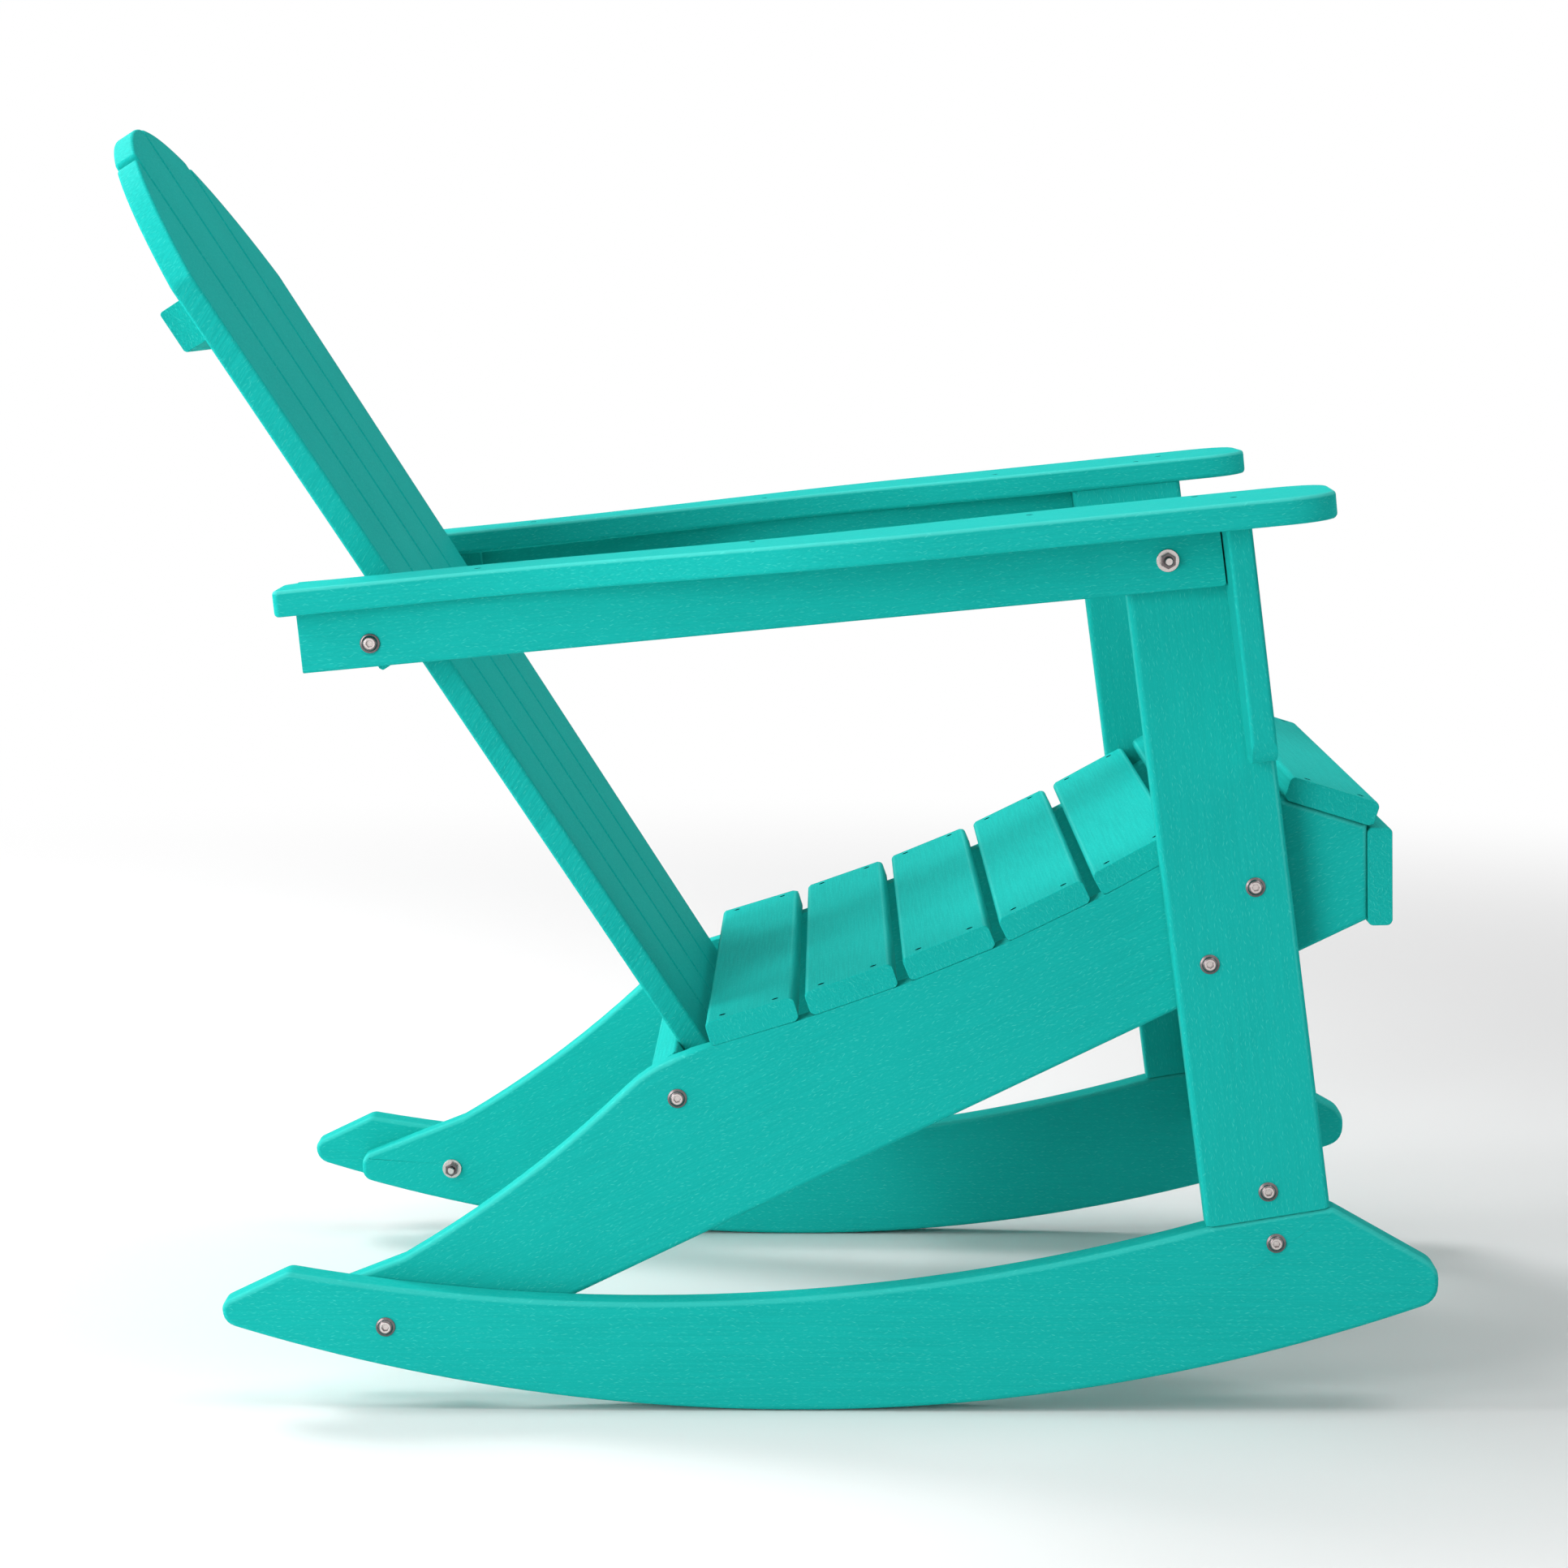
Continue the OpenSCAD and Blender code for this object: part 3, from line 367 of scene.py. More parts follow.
@dataclass(frozen=True)
class BlackenedSteel:
    """Stainless steel under a black oxide, as on trim-head deck screws: the oxide hides its shine."""

    name: str = "stainless_steel_blackened"
    colour: str = "#080c0d"
    specular: float = 0.1
    roughness: float = 0.6
    # Size and depth of the oxide's fine grains, in millimetres
    grain_size: float = 0.5
    grain_depth: float = 0.02

    def material(self) -> bpy.types.Material:
        """Builds the finish, or finds it."""
        if self.name in bpy.data.materials:
            return bpy.data.materials[self.name]
        made, tree, shader = new_material(self.name)
        place = add_node(tree, "ShaderNodeTexCoord").outputs["Object"]
        grains = add_node(tree, "ShaderNodeTexNoise", {
            "Vector": place, "Scale": 1 / (self.grain_size * MM), "Detail": 2.0}).outputs["Fac"]
        bump = add_node(tree, "ShaderNodeBump", {
            "Height": grains, "Distance": self.grain_depth * MM, "Strength": 1.0})
        tree.links.new(bump.outputs["Normal"], shader.inputs["Normal"])
        shader.inputs["Base Color"].default_value = linear_colour(self.colour)
        shader.inputs["Metallic"].default_value = 0.0
        shader.inputs["Specular IOR Level"].default_value = self.specular
        shader.inputs["Roughness"].default_value = self.roughness
        made.diffuse_color = linear_colour(self.colour)
        return made


def only(piece: bpy.types.Object) -> None:
    """Selects one object and makes it active."""
    bpy.ops.object.select_all(action="DESELECT")
    piece.select_set(True)
    bpy.context.view_layer.objects.active = piece


def finish_piece(piece: bpy.types.Object, finishes: tuple[bpy.types.Material, ...],
                 stands_for: tuple[str, ...]) -> None:
    """Dresses a finished piece and joins it to the chair.

    Args:
        piece: the piece, in its place.
        finishes: its materials, in the order of its faces' numbers.
        stands_for: the nodes that it replaces.
    """
    numbers = [face.material_index for face in piece.data.polygons]
    piece.data.materials.clear()
    for finish in finishes:
        piece.data.materials.append(finish)
    piece.data.polygons.foreach_set("material_index", numbers)
    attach(piece, BODY)
    if stands_for:
        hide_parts(*stands_for)
    log.info("%s: %d faces, %s", piece.name, len(piece.data.polygons), finishes[0].name)


def smooth(piece: bpy.types.Object, angle: float) -> None:
    """Shades a piece smooth up to an angle, with its broad faces kept flat.

    Args:
        piece: the piece.
        angle: the steepest edge that is still shaded smooth, in degrees.
    """
    only(piece)
    bpy.ops.object.shade_smooth_by_angle(angle=math.radians(angle))
    bpy.ops.object.modifier_add(type="WEIGHTED_NORMAL")
    piece.modifiers[-1].keep_sharp = True
    bpy.ops.object.modifier_apply(modifier=piece.modifiers[-1].name)


EdgeChoice = Callable[[Vector, Vector], bool]
Edges = list[bmesh.types.BMEdge]


@dataclass
class Board:
    """One board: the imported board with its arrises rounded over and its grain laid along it."""

    node: str
    grain: Grain
    # Radius of the rounded arrises, and of the other sharp edges, in millimetres
    arris: float = 3.5
    eased: float = 0.6
    # Which arrises are rounded, by their middle and their direction
    rounded: EdgeChoice = lambda middle, way: True
    arris_steps: int = 4
    eased_steps: int = 2
    # A group of sharp edges smaller than this, in millimetres, is the rim of a hole and is left alone
    rim_size: float = 25.0
    # Faces of a hole's wall are narrower than this, in millimetres, and turn by more than this, in degrees
    bore_strip: float = 1.5
    bore_turn: float = 2.0
    # Edges that turn by less than flat_angle are merged away, and by more than sharp_angle are sharp
    flat_angle: float = 0.2
    sharp_angle: float = 28.0
    shade_angle: float = 32.0
    arris_slot: int = 1
    # How strongly a pale highlight is painted on the upper arrises, from 0 to 1, and the least rise of their
    # normals
    wear_and_highlight: float = 0.15
    upper_rise: float = 0.1
    # Depth of the finish's lines and lean of its hairs: boards of one grain and lean share one finish
    line_depth: float = 0.25
    lean: float = 28.0

    def build(self) -> bpy.types.Object:
        """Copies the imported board, rounds its arrises and shades it."""
        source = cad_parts[self.node]
        piece = bpy.data.objects.new(f"{self.node}_board", source.data.copy())
        bpy.context.scene.collection.objects.link(piece)
        # Two empty material slots tell the rounded arrises from the rest until they are marked
        piece.data.materials.clear()
        for _ in range(self.arris_slot + 1):
            piece.data.materials.append(None)
        only(piece)
        bpy.ops.object.mode_set(mode="EDIT")
        bpy.ops.mesh.select_all(action="SELECT")
        bpy.ops.mesh.remove_doubles(threshold=MERGE)
        bpy.ops.mesh.dissolve_limited(angle_limit=math.radians(self.flat_angle))
        self.mark_bore_shade(piece)
        self.round_over(piece, self.arris, self.rounded, self.arris_steps, self.arris_slot)
        if self.eased:
            self.round_over(piece, self.eased, lambda middle, way: True, self.eased_steps, 0)
        self.mark_arris_highlights(piece)
        bpy.ops.object.mode_set(mode="OBJECT")
        smooth(piece, self.shade_angle)
        return piece

    def sharp_groups(self, mesh: bmesh.types.BMesh) -> tuple[Edges, Edges]:
        """Sharp edges of the board's outline, and of the rims of its holes.

        Args:
            mesh: the board's mesh in edit mode.

        Returns:
            The outline's edges and the rims' edges.
        """
        steep = math.radians(self.sharp_angle)
        sharp = {e for e in mesh.edges if len(e.link_faces) == 2 and e.calc_face_angle(0.0) > steep}
        outline, rims = [], []
        while sharp:
            group, ends = [], [sharp.pop()]
            while ends:
                edge = ends.pop()
                group.append(edge)
                near = {e for v in edge.verts for e in v.link_edges} & sharp
                sharp -= near
                ends.extend(near)
            places = [v.co for e in group for v in e.verts]
            spread = max(max(p[k] for p in places) - min(p[k] for p in places) for k in range(3))
            (outline if spread > self.rim_size * MM else rims).extend(group)
        return outline, rims

    def round_over(self, piece: bpy.types.Object, radius: float, choice: EdgeChoice, steps: int,
                   slot: int) -> None:
        """Bevels the chosen arrises in edit mode.

        Args:
            piece: the board's object.
            radius: the bevel's radius in millimetres.
            choice: which arrises to take.
            steps: the bevel's segments.
            slot: the material slot of the new faces.
        """
        bpy.ops.mesh.select_all(action="DESELECT")
        bpy.ops.mesh.select_mode(type="EDGE")
        mesh = bmesh.from_edit_mesh(piece.data)
        chosen = 0
        for edge in self.sharp_groups(mesh)[0]:
            way = (edge.verts[1].co - edge.verts[0].co).normalized()
            if choice((edge.verts[0].co + edge.verts[1].co) / 2, way):
                edge.select_set(True)
                chosen += 1
        bmesh.update_edit_mesh(piece.data)
        if chosen:
            bpy.ops.mesh.bevel(offset=radius * MM, segments=steps, profile=0.5, affect="EDGES",
                               clamp_overlap=False, material=slot)

    def mark_arris_highlights(self, piece: bpy.types.Object) -> None:
        """Marks the middle rows of the upper rounded arrises, for the finish to paint a pale highlight on
        them.
        """
        mesh = bmesh.from_edit_mesh(piece.data)
        layer = mesh.verts.layers.float.new("arris")
        for vertex in mesh.verts:
            on_arris = all(face.material_index == self.arris_slot for face in vertex.link_faces)
            if on_arris and vertex.normal.z > self.upper_rise:
                vertex[layer] = self.wear_and_highlight
        for face in mesh.faces:
            face.material_index = 0
        bmesh.update_edit_mesh(piece.data)

    def mark_bore_shade(self, piece: bpy.types.Object) -> None:
        """Marks the walls of the holes, narrow strips that turn a little, for the finish to paint shade on
        them.
        """
        mesh = bmesh.from_edit_mesh(piece.data)
        layer = mesh.faces.layers.float.new("bore")
        rim_places = {vertex for edge in self.sharp_groups(mesh)[1] for vertex in edge.verts}
        least, most = math.radians(self.bore_turn), math.radians(self.sharp_angle)
        for face in mesh.faces:
            turns = any(least < edge.calc_face_angle(0.0) < most for edge in face.edges)
            width = face.calc_area() / max(edge.calc_length() for edge in face.edges)
            at_rim = any(vertex in rim_places for vertex in face.verts)
            if turns and at_rim and width < self.bore_strip * MM:
                face[layer] = 1.0
        bmesh.update_edit_mesh(piece.data)

    def dress(self) -> None:
        """Builds the board and gives it its finish."""
        finish = HdpeLumber(self.grain, self.line_depth, self.lean).material()
        finish_piece(self.build(), (finish,), (self.node,))


def across(middle: Vector, way: Vector) -> bool:
    """Edges that run across the chair."""
    return abs(way.x) > CROSS_SHARE


def in_side_view(middle: Vector, way: Vector) -> bool:
    """Edges of a side face, which don't run across the chair."""
    return abs(way.x) < SIDE_SHARE


def sloped(slope: float) -> EdgeChoice:
    """Edges that run along a slope of the side view.

    Args:
        slope: the slope in degrees.

    Returns:
        The test of an edge.
    """
    along = Vector((0, math.cos(math.radians(slope)), math.sin(math.radians(slope))))
    return lambda middle, way: abs(way.dot(along)) > SLOPE_SHARE


@dataclass
class Rockers:
    """The curved boards that roll on the floor."""

    arris: float = 4.0
    line_depth: float = 0.12

    def dress(self) -> None:
        """Builds both rockers."""
        for side in ("right", "left"):
            Board(f"{side}_rocker", Grain.LEVEL, self.arris, rounded=in_side_view,
                  line_depth=self.line_depth).dress()


@dataclass
class SideFrames:
    """The stringers, front legs and foot cleats that stand on the rockers."""

    arris: float = 4.0
    cleat_arris: float = 2.0
    stringer_lines: float = 0.12
    leg_lines: float = 0.1
    # A stronger painted highlight on the front legs' upper arrises
    leg_highlight: float = 0.3
    # The seat's edges on a stringer stay crisp from here forwards, above a line that lies this far under
    # the seat's line and rises forwards by this many degrees, in metres
    seat_from: float = 0.045
    seat_line: float = 0.255
    under_seat: float = 0.035
    seat_slope: float = 25.9

    def free_edge(self, middle: Vector, way: Vector) -> bool:
        """Edges of a stringer that no seat slat covers."""
        return in_side_view(middle, way) and not (middle.y < self.seat_from and self.over_seat_line(middle))

    def over_seat_line(self, middle: Vector) -> bool:
        """True above the middle line of a stringer."""
        rise = (self.seat_from - middle.y) * math.tan(math.radians(self.seat_slope))
        return middle.z > self.seat_line - self.under_seat + rise

    def dress(self) -> None:
        """Builds the boards of both sides."""
        for side in ("right", "left"):
            Board(f"{side}_stringer", Grain.STRINGER, self.arris, rounded=self.free_edge,
                  line_depth=self.stringer_lines).dress()
            Board(f"{side}_front_leg", Grain.LEG, self.arris, rounded=sloped(LEG_SLOPE), wear_and_highlight=self.leg_highlight,
                  line_depth=self.leg_lines).dress()
            Board(f"{side}_foot_cleat", Grain.LEG, self.cleat_arris, rounded=in_side_view,
                  line_depth=self.leg_lines).dress()


@dataclass
class Seat:
    """The seat slats and the apron, sawn from long boards: long arrises are round, sawn ends crisp."""

    slats: int = 6
    arris: float = 4.0
    line_depth: float = 0.2
    lean: float = 45.0

    def dress(self) -> None:
        """Builds the slats and the apron."""
        names = [f"seat_slat_{k + 1}" for k in range(self.slats)] + ["front_seat_slat", "front_apron"]
        for name in names:
            Board(name, Grain.ACROSS, self.arris, rounded=across, line_depth=self.line_depth,
                  lean=self.lean).dress()


@dataclass
class Back:
    """The fan of back slats and the rails behind it."""

    slats: int = 4
    arris: float = 2.5
    rail_arris: float = 2.5

    def dress(self) -> None:
        """Builds the slats and the rails."""
        for k in range(self.slats):
            Board(f"back_slat_{k + 1}", Grain.BACK, self.arris, eased=0.0, wear_and_highlight=0.0).dress()
        for name in ("lower_back_rail", "arm_back_rail", "upper_back_rail"):
            Board(name, Grain.ACROSS, self.rail_arris, eased=BROKEN_EDGE, rounded=across).dress()


@dataclass
class Arms:
    """The armrests with the rails, cleats and brackets under them."""

    arris: float = 3.0
    rail_arris: float = 2.0
    cleat_arris: float = 1.0
    bracket_arris: float = 3.0
    # Strength of the painted highlight on the armrests' upper arrises
    wear_and_highlight: float = 0.3
    arm_lines: float = 0.12
    upright_lines: float = 0.1

    def dress(self) -> None:
        """Builds the boards of both arms."""
        for side in ("right", "left"):
            Board(f"{side}_armrest", Grain.ARM, self.arris, eased=0.0, wear_and_highlight=self.wear_and_highlight,
                  line_depth=self.arm_lines).dress()
            Board(f"{side}_arm_rail", Grain.ARM, self.rail_arris, eased=BROKEN_EDGE,
                  rounded=sloped(-ARM_SLOPE), line_depth=self.arm_lines).dress()
            Board(f"{side}_arm_cleat", Grain.LEG, self.cleat_arris, eased=BROKEN_EDGE,
                  line_depth=self.upright_lines).dress()
            Board(f"{side}_arm_bracket", Grain.LEG, self.bracket_arris, eased=BROKEN_EDGE,
                  rounded=in_side_view, line_depth=self.upright_lines).dress()


def loose_boxes(node: str) -> list[tuple[Vector, Vector]]:
    """Boxes of a node's separate solids.

    Args:
        node: the node's name.

    Returns:
        The lowest and highest corner of each solid, in order along X, Y and Z.
    """
    mesh = bmesh.new()
    mesh.from_mesh(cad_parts[node].data)
    bmesh.ops.remove_doubles(mesh, verts=mesh.verts, dist=MERGE)
    left, boxes = set(mesh.verts), []
    while left:
        group, ends = [], [left.pop()]
        while ends:
            vertex = ends.pop()
            group.append(vertex.co.copy())
            near = {e.other_vert(vertex) for e in vertex.link_edges} & left
            left -= near
            ends.extend(near)
        low = Vector([min(p[k] for p in group) for k in range(3)])
        high = Vector([max(p[k] for p in group) for k in range(3)])
        boxes.append((low, high))
    mesh.free()
    return sorted(boxes, key=lambda b: (round(b[0].x, 4), round(b[0].y, 4), round(b[0].z, 4)))


@dataclass
class FlangedBolt:
    """An M6 bolt with a domed, flanged head and a hexagon socket, turned once and copied to each place."""

    # Sizes in millimetres: the head's profile as radii and heights over its seat
    shank: float = 3.0
    profile: tuple[tuple[float, float], ...] = (
        (6.6, 0.0), (7.0, 0.25), (7.0, 0.75), (6.7, 1.05), (6.1, 1.2), (5.75, 1.35), (5.5, 1.6), (5.3, 2.1),
        (5.0, 2.6), (4.6, 3.0), (4.2, 3.25), (3.85, 3.36), (3.7, 3.4))
    head_height: float = 3.4
    socket_width: float = 4.4
    socket_depth: float = 2.2
    socket_sides: int = 6
    tip_chamfer: float = 0.6
    cutter_length: float = 6.0
    # The bevel at the socket's mouth, and the room for finding the mouth's edges
    mouth_ease: float = 0.2
    mouth_room: float = 0.5
    level_room: float = 0.01
    # Faces within this radius that look this nearly along the bolt take the lighter steel, the rest its
    # darker copy with painted shade
    bright_radius: float = 4.0
    level_share: float = 0.95
    facets: int = 48
    # Angle in degrees up to which it is shaded smooth, and in radians from which an edge is sharp
    shade_angle: float = 35.0
    sharp_turn: float = 1.0

    def turned(self, name: str, length: float) -> bpy.types.Object:
        """Turns the bolt up from its tip by extruding and sizing rings.

        Args:
            name: the object's name.
            length: the shank's length in millimetres.

        Returns:
            The bolt, pointing down from a seat at the origin.
        """
        bpy.ops.object.select_all(action="DESELECT")
        tip = self.shank - self.tip_chamfer
        bpy.ops.mesh.primitive_circle_add(
            vertices=self.facets, radius=tip * MM, fill_type="NGON", location=(0, 0, -length * MM))
        bolt = bpy.context.active_object
        bolt.name = name
        bpy.ops.object.transform_apply(location=True, rotation=True, scale=True)
        bpy.ops.object.mode_set(mode="EDIT")
        bpy.ops.mesh.select_all(action="SELECT")
        # The tip's chamfer, the shank, and then the head
        rings = ((self.shank, -length + self.tip_chamfer), (self.shank, 0.0)) + self.profile
        radius, height = tip, -length
        for next_radius, next_height in rings:
            bpy.ops.mesh.extrude_region_move(
                TRANSFORM_OT_translate={"value": (0, 0, (next_height - height) * MM)})
            share = next_radius / radius
            bpy.ops.transform.resize(value=(share, share, 1), center_override=(0, 0, 0))
            radius, height = next_radius, next_height
        bpy.ops.mesh.select_all(action="SELECT")
        bpy.ops.mesh.normals_make_consistent(inside=False)
        bpy.ops.object.mode_set(mode="OBJECT")
        return bolt

    def master(self, name: str, length: float) -> bpy.types.Object:
        """Cuts the socket into a turned bolt.

        Args:
            name: the object's name.
            length: the shank's length in millimetres.

        Returns:
            The finished bolt at the origin.
        """
        bolt = self.turned(name, length)
        bpy.ops.object.select_all(action="DESELECT")
        corner = self.socket_width / 2 / math.cos(math.pi / self.socket_sides)
        middle = self.head_height - self.socket_depth + self.cutter_length / 2
        bpy.ops.mesh.primitive_cylinder_add(
            vertices=self.socket_sides, radius=corner * MM, depth=self.cutter_length * MM,
            location=(0, 0, middle * MM))
        cutter = bpy.context.active_object
        only(bolt)
        bpy.ops.object.modifier_add(type="BOOLEAN")
        cut = bolt.modifiers[-1]
        cut.operation, cut.solver, cut.object = "DIFFERENCE", "EXACT", cutter
        bpy.ops.object.modifier_apply(modifier=cut.name)
        bpy.data.objects.remove(cutter)
        self.ease_socket(bolt)
        # The flat top, the floor of the socket and the shank's end take the second finish, the lighter
        # steel; the rest takes the darker copy with painted shade
        for face in bolt.data.polygons:
            level = abs(face.normal.z) > self.level_share
            face.material_index = int(level and face.center.xy.length < self.bright_radius * MM)
        smooth(bolt, self.shade_angle)
        return bolt

    def ease_socket(self, bolt: bpy.types.Object) -> None:
        """Bevels the mouth of the socket, which is the sharp hexagon on the head's top."""
        only(bolt)
        bpy.ops.object.mode_set(mode="EDIT")
        bpy.ops.mesh.select_all(action="DESELECT")
        bpy.ops.mesh.select_mode(type="EDGE")
        mesh = bmesh.from_edit_mesh(bolt.data)
        top = self.head_height * MM
        reach = (self.socket_width / 2 + self.mouth_room) * MM
        for edge in mesh.edges:
            ends = [v.co for v in edge.verts]
            on_top = all(abs(p.z - top) < self.level_room * MM for p in ends)
            if on_top and all(p.xy.length < reach for p in ends):
                edge.select_set(edge.calc_face_angle(0.0) > self.sharp_turn)
        bmesh.update_edit_mesh(bolt.data)
        bpy.ops.mesh.bevel(
            offset=self.mouth_ease * MM, segments=2, profile=0.5, affect="EDGES", clamp_overlap=True)
        bpy.ops.object.mode_set(mode="OBJECT")


@dataclass
class Fasteners:
    """Bolts, nuts, washers and screws."""

    bolt: FlangedBolt = field(default_factory=FlangedBolt)
    # Nodes whose bolt heads face outwards, and the one whose heads face inwards
    outward: tuple[str, ...] = ("rocker_rear_bolts", "rocker_front_bolts", "leg_foot_bolts",
                                "leg_stringer_bolts", "lower_rail_bolts", "arm_rear_bolts")
    inward: tuple[str, ...] = ("arm_front_bolts",)
    pressed: tuple[str, ...] = ("hex_nuts", "washers", "barrel_nuts")
    screws: tuple[str, ...] = ("seat_screws", "apron_screws", "back_screws", "armrest_screws",
                               "bracket_screws", "cleat_screws")
    # Turns of the bolts' heads as they were left by the driver, in degrees
    turns: tuple[float, ...] = (8.0, 41.0, 23.0, 52.0)
    # Angles in degrees for the pressed parts, and the bevel of their sharp edges in millimetres
    flat_angle: float = 0.5
    sharp_angle: float = 40.0
    edge_ease: float = 0.25

    def set_bolts(self, node: str, outward: bool) -> None:
        """Replaces a node's bolts by detailed ones.

        Args:
            node: the node's name.
            outward: True if the heads face away from the chair's middle.
        """
        boxes = loose_boxes(node)
        length = (boxes[0][1].x - boxes[0][0].x) / MM - self.bolt.head_height
        master = self.bolt.master(f"{node}_master", length)
        for k, (low, high) in enumerate(boxes):
            left = (low.x + high.x) > 0
            sign = 1 if left == outward else -1
            seat = high.x - self.bolt.head_height * MM if sign > 0 else low.x + self.bolt.head_height * MM
            mesh = master.data.copy()
            turn = Matrix.Rotation(math.radians(self.turns[k % len(self.turns)]), 4, "Z")
            aim = Matrix.Rotation(math.radians(90 * sign), 4, "Y")
            place = Matrix.Translation((seat, (low.y + high.y) / 2, (low.z + high.z) / 2))
            mesh.transform(place @ aim @ turn)
            piece = bpy.data.objects.new(f"{node}_{k + 1}", mesh)
            bpy.context.scene.collection.objects.link(piece)
            finishes = (ShadedStainlessSteel().material(), StainlessSteel().material())
            finish_piece(piece, finishes, (node,))
        bpy.data.objects.remove(master)

    def ease(self, node: str) -> None:
        """Replaces a node of pressed parts by a copy with eased edges."""
        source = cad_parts[node]
        piece = bpy.data.objects.new(f"{node}_eased", source.data.copy())
        bpy.context.scene.collection.objects.link(piece)
        only(piece)
        bpy.ops.object.mode_set(mode="EDIT")
        bpy.ops.mesh.select_all(action="SELECT")
        bpy.ops.mesh.remove_doubles(threshold=MERGE)
        bpy.ops.mesh.dissolve_limited(angle_limit=math.radians(self.flat_angle))
        bpy.ops.mesh.select_all(action="DESELECT")
        bpy.ops.mesh.edges_select_sharp(sharpness=math.radians(self.sharp_angle))
        bpy.ops.mesh.bevel(
            offset=self.edge_ease * MM, segments=2, profile=0.5, affect="EDGES", clamp_overlap=True)
        bpy.ops.object.mode_set(mode="OBJECT")
        smooth(piece, self.bolt.shade_angle)
        # Washers take the lighter steel, nuts the darker copy with painted shade
        finish = StainlessSteel() if node == "washers" else ShadedStainlessSteel()
        finish_piece(piece, (finish.material(),), (node,))

    def dress(self) -> None:
        """Builds the bolts and the pressed parts, and finishes the screws."""
        for node in self.outward:
            self.set_bolts(node, True)
        for node in self.inward:
            self.set_bolts(node, False)
        for node in self.pressed:
            self.ease(node)
        for node in self.screws:
            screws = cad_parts[node]
            screws.data.materials.clear()
            screws.data.materials.append(BlackenedSteel().material())
            log.info("%s: kept, with a new finish", node)


@dataclass(frozen=True)
class Softbox:
    """A square lamp that faces the chair."""

    name: str
    # Place and side in metres, and power in watts
    place: tuple[float, float, float]
    size: float
    watts: float
    # Height on the chair's middle line that every lamp looks at
    aim_height: float = 0.45

    def add(self) -> None:
        """Adds the lamp to the scene."""
        data = bpy.data.lights.new(self.name, "AREA")
        data.shape, data.size, data.energy = "SQUARE", self.size, self.watts
        lamp = bpy.data.objects.new(self.name, data)
        aim = Vector((0, 0, self.aim_height)) - Vector(self.place)
        turn = aim.to_track_quat("-Z", "Y").to_matrix().to_4x4()
        lamp.matrix_world = Matrix.Translation(self.place) @ turn
        bpy.context.scene.collection.objects.link(lamp)


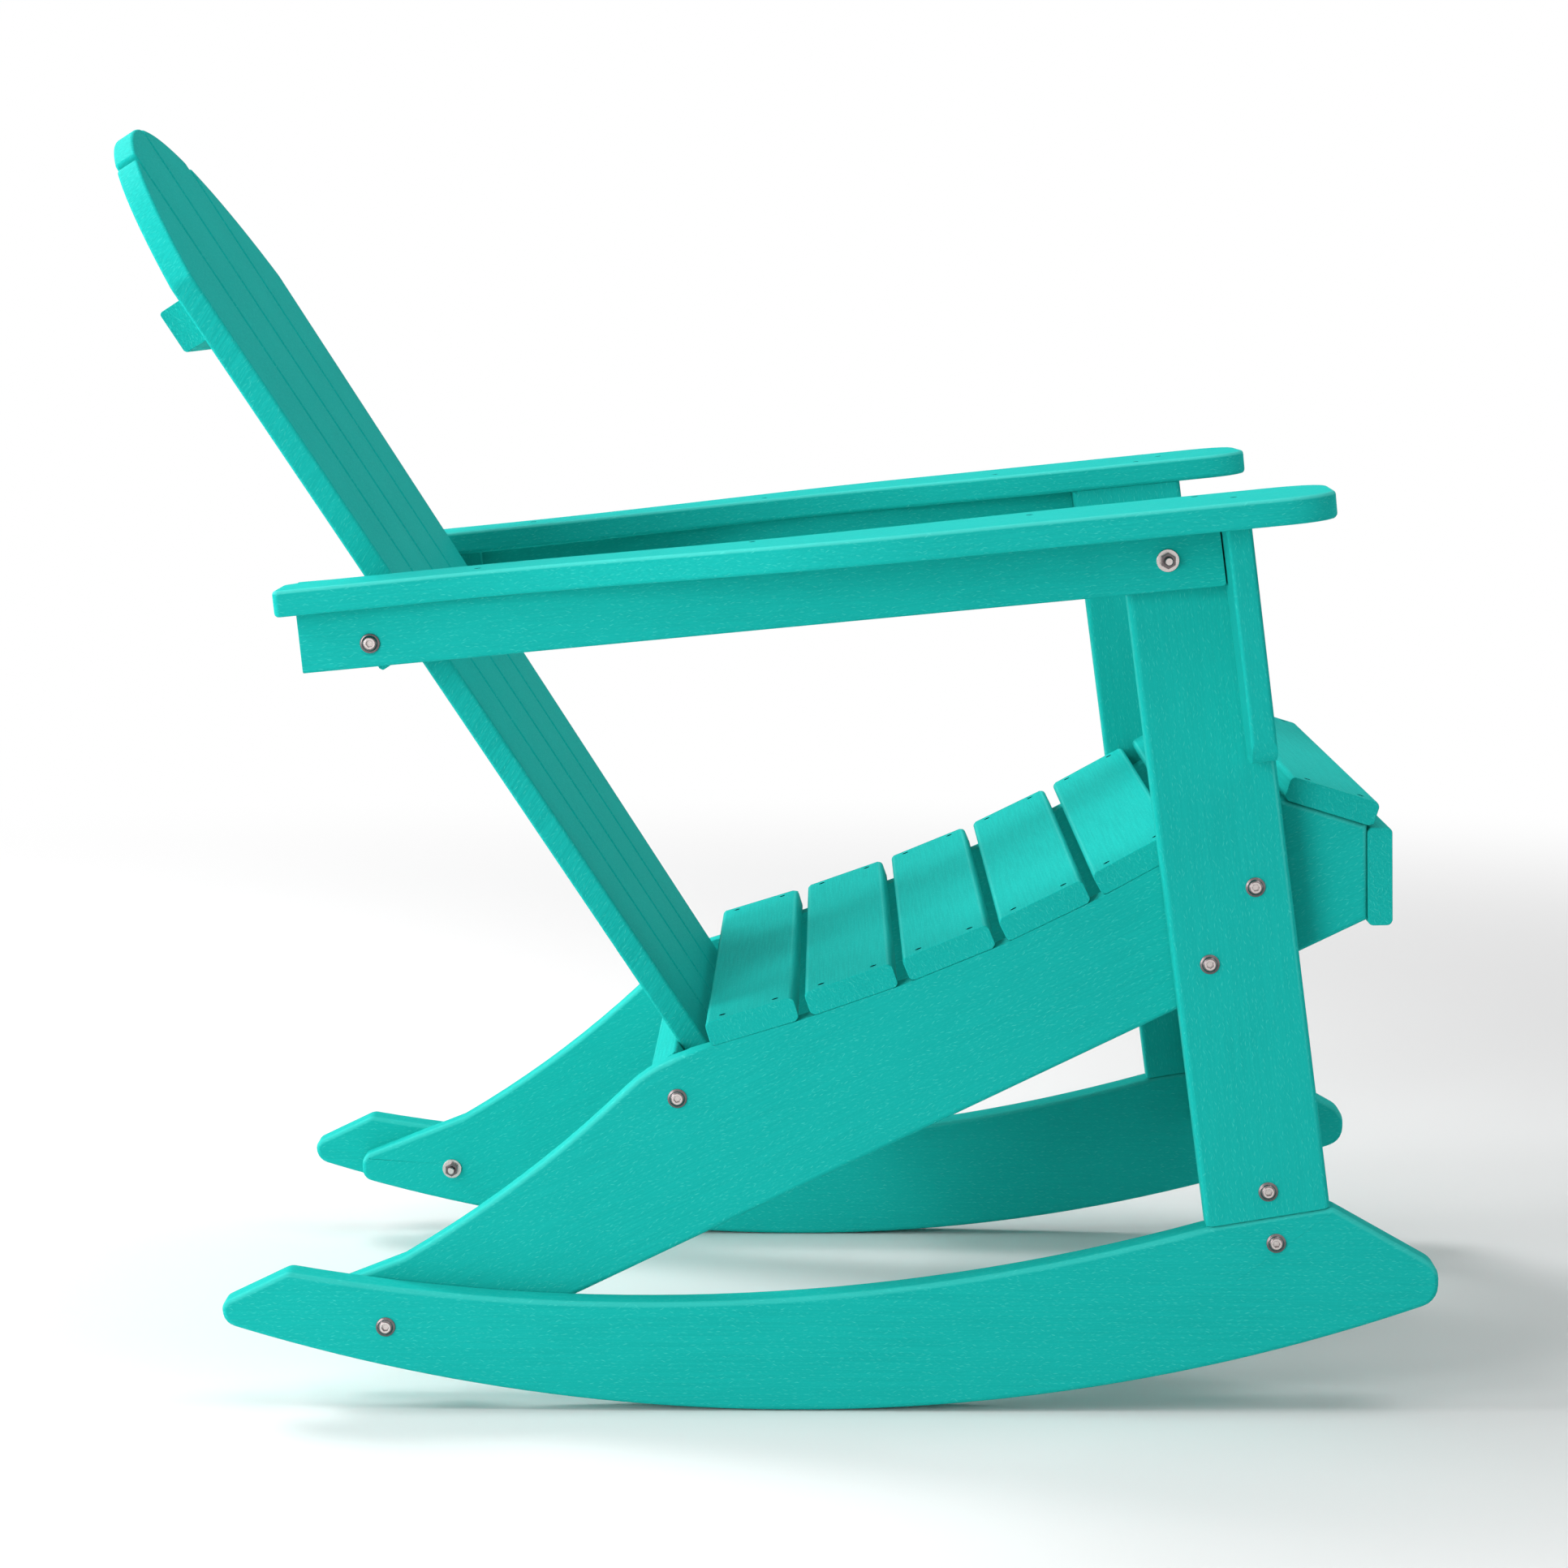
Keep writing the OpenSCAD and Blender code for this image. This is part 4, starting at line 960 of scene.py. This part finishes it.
@dataclass
class Studio:
    """Floor, lamps, white background and camera."""

    # Camera: focal length in millimetres, place in metres, fall and turn in radians
    lens: float = 90.746
    sensor: float = 36.0
    place: tuple[float, float, float] = (-3.0679, -0.0493, 0.8165)
    fall: float = 0.12768
    turn: float = 0.01073
    # How far the camera sees, the floor's side and its drop under the rockers, in metres
    sight: float = 200.0
    floor_size: float = 60.0
    floor_drop: float = 0.0003
    floor_colour: str = "#ececec"
    # The floor's shading fades into plain white between these distances from the chair, in metres
    fade_from: float = 1.3
    fade_to: float = 3.2
    lamps: tuple[Softbox, ...] = (
        Softbox("rear_lamp", (-0.3, 3.4, 3.0), 1.3, 66.0),
        Softbox("low_rear_lamp", (0.0, 3.8, 1.0), 2.0, 40.0),
        Softbox("far_rear_lamp", (2.2, 2.6, 2.8), 1.3, 104.0),
        Softbox("shoulder_lamp", (-2.4, 2.6, 2.8), 1.3, 28.0),
        Softbox("side_lamp", (-3.6, 2.6, 1.2), 2.0, 92.0),
        Softbox("top_lamp", (-0.3, 0.2, 3.6), 2.6, 32.0),
        Softbox("high_front_lamp", (-0.6, -1.9, 3.3), 1.6, 34.0),
        Softbox("low_front_lamp", (-0.4, -3.6, 1.1), 2.0, 14.0))
    # Strength of the soft light from all round
    fill: float = 0.06

    def build(self) -> None:
        """Builds the whole studio."""
        self.add_camera()
        self.add_floor()
        self.add_world()
        for lamp in self.lamps:
            lamp.add()
        bpy.context.scene.view_settings.view_transform = "Standard"

    def add_camera(self) -> None:
        """Places the camera as the photograph was taken."""
        level = Vector((math.cos(self.turn), math.sin(self.turn), 0))
        forward = math.cos(self.fall) * level - Vector((0, 0, math.sin(self.fall)))
        aside = Vector((math.sin(self.turn), -math.cos(self.turn), 0))
        over = aside.cross(forward)
        data = bpy.data.cameras.new("camera")
        data.lens, data.sensor_width, data.clip_end = self.lens, self.sensor, self.sight
        camera = bpy.data.objects.new("camera", data)
        turned = Matrix((aside, over, -forward)).transposed().to_4x4()
        camera.matrix_world = Matrix.Translation(self.place) @ turned
        bpy.context.scene.collection.objects.link(camera)
        bpy.context.scene.camera = camera

    def add_floor(self) -> None:
        """Lays the pale floor, which fades into the white background."""
        bpy.ops.object.select_all(action="DESELECT")
        bpy.ops.mesh.primitive_plane_add(size=self.floor_size, location=(0, 0, -self.floor_drop))
        floor = bpy.context.active_object
        floor.name = "floor"
        made, tree, shader = new_material("painted_floor")
        tree.nodes.remove(shader)
        place = add_node(tree, "ShaderNodeTexCoord").outputs["Object"]
        far = add_node(tree, "ShaderNodeVectorMath", {0: place}, operation="LENGTH").outputs["Value"]
        fade = add_node(tree, "ShaderNodeMapRange", {
            "Value": far, "From Min": self.fade_from, "From Max": self.fade_to},
            interpolation_type="SMOOTHSTEP").outputs[0]
        share = add_node(tree, "ShaderNodeMath", {
            0: fade, 1: seen_ray(tree)}, operation="MULTIPLY").outputs[0]
        paint = add_node(tree, "ShaderNodeBsdfDiffuse", {"Color": linear_colour(self.floor_colour)})
        white = add_node(tree, "ShaderNodeEmission", {"Color": (1, 1, 1, 1), "Strength": 1.0})
        mixed = add_node(tree, "ShaderNodeMixShader", {0: share, 1: paint.outputs[0], 2: white.outputs[0]})
        tree.links.new(mixed.outputs[0], tree.nodes["Material Output"].inputs["Surface"])
        floor.data.materials.append(made)

    def add_world(self) -> None:
        """Gives the soft light from all round, and plain white where the background is seen."""
        world = bpy.data.worlds.new("studio")
        bpy.context.scene.world = world
        world.use_nodes = True
        tree = world.node_tree
        level = add_node(tree, "ShaderNodeMapRange", {
            "Value": seen_ray(tree), "To Min": self.fill, "To Max": 1.0}).outputs[0]
        light = tree.nodes["Background"]
        light.inputs["Color"].default_value = (1, 1, 1, 1)
        tree.links.new(level, light.inputs["Strength"])


def main() -> None:
    """Builds the studio and the chair."""
    logging.basicConfig(level=logging.INFO, format="%(name)s: %(message)s")
    Studio().build()
    for group in (Rockers(), SideFrames(), Seat(), Back(), Arms(), Fasteners()):
        group.dress()


if __name__ == "__main__":
    main()
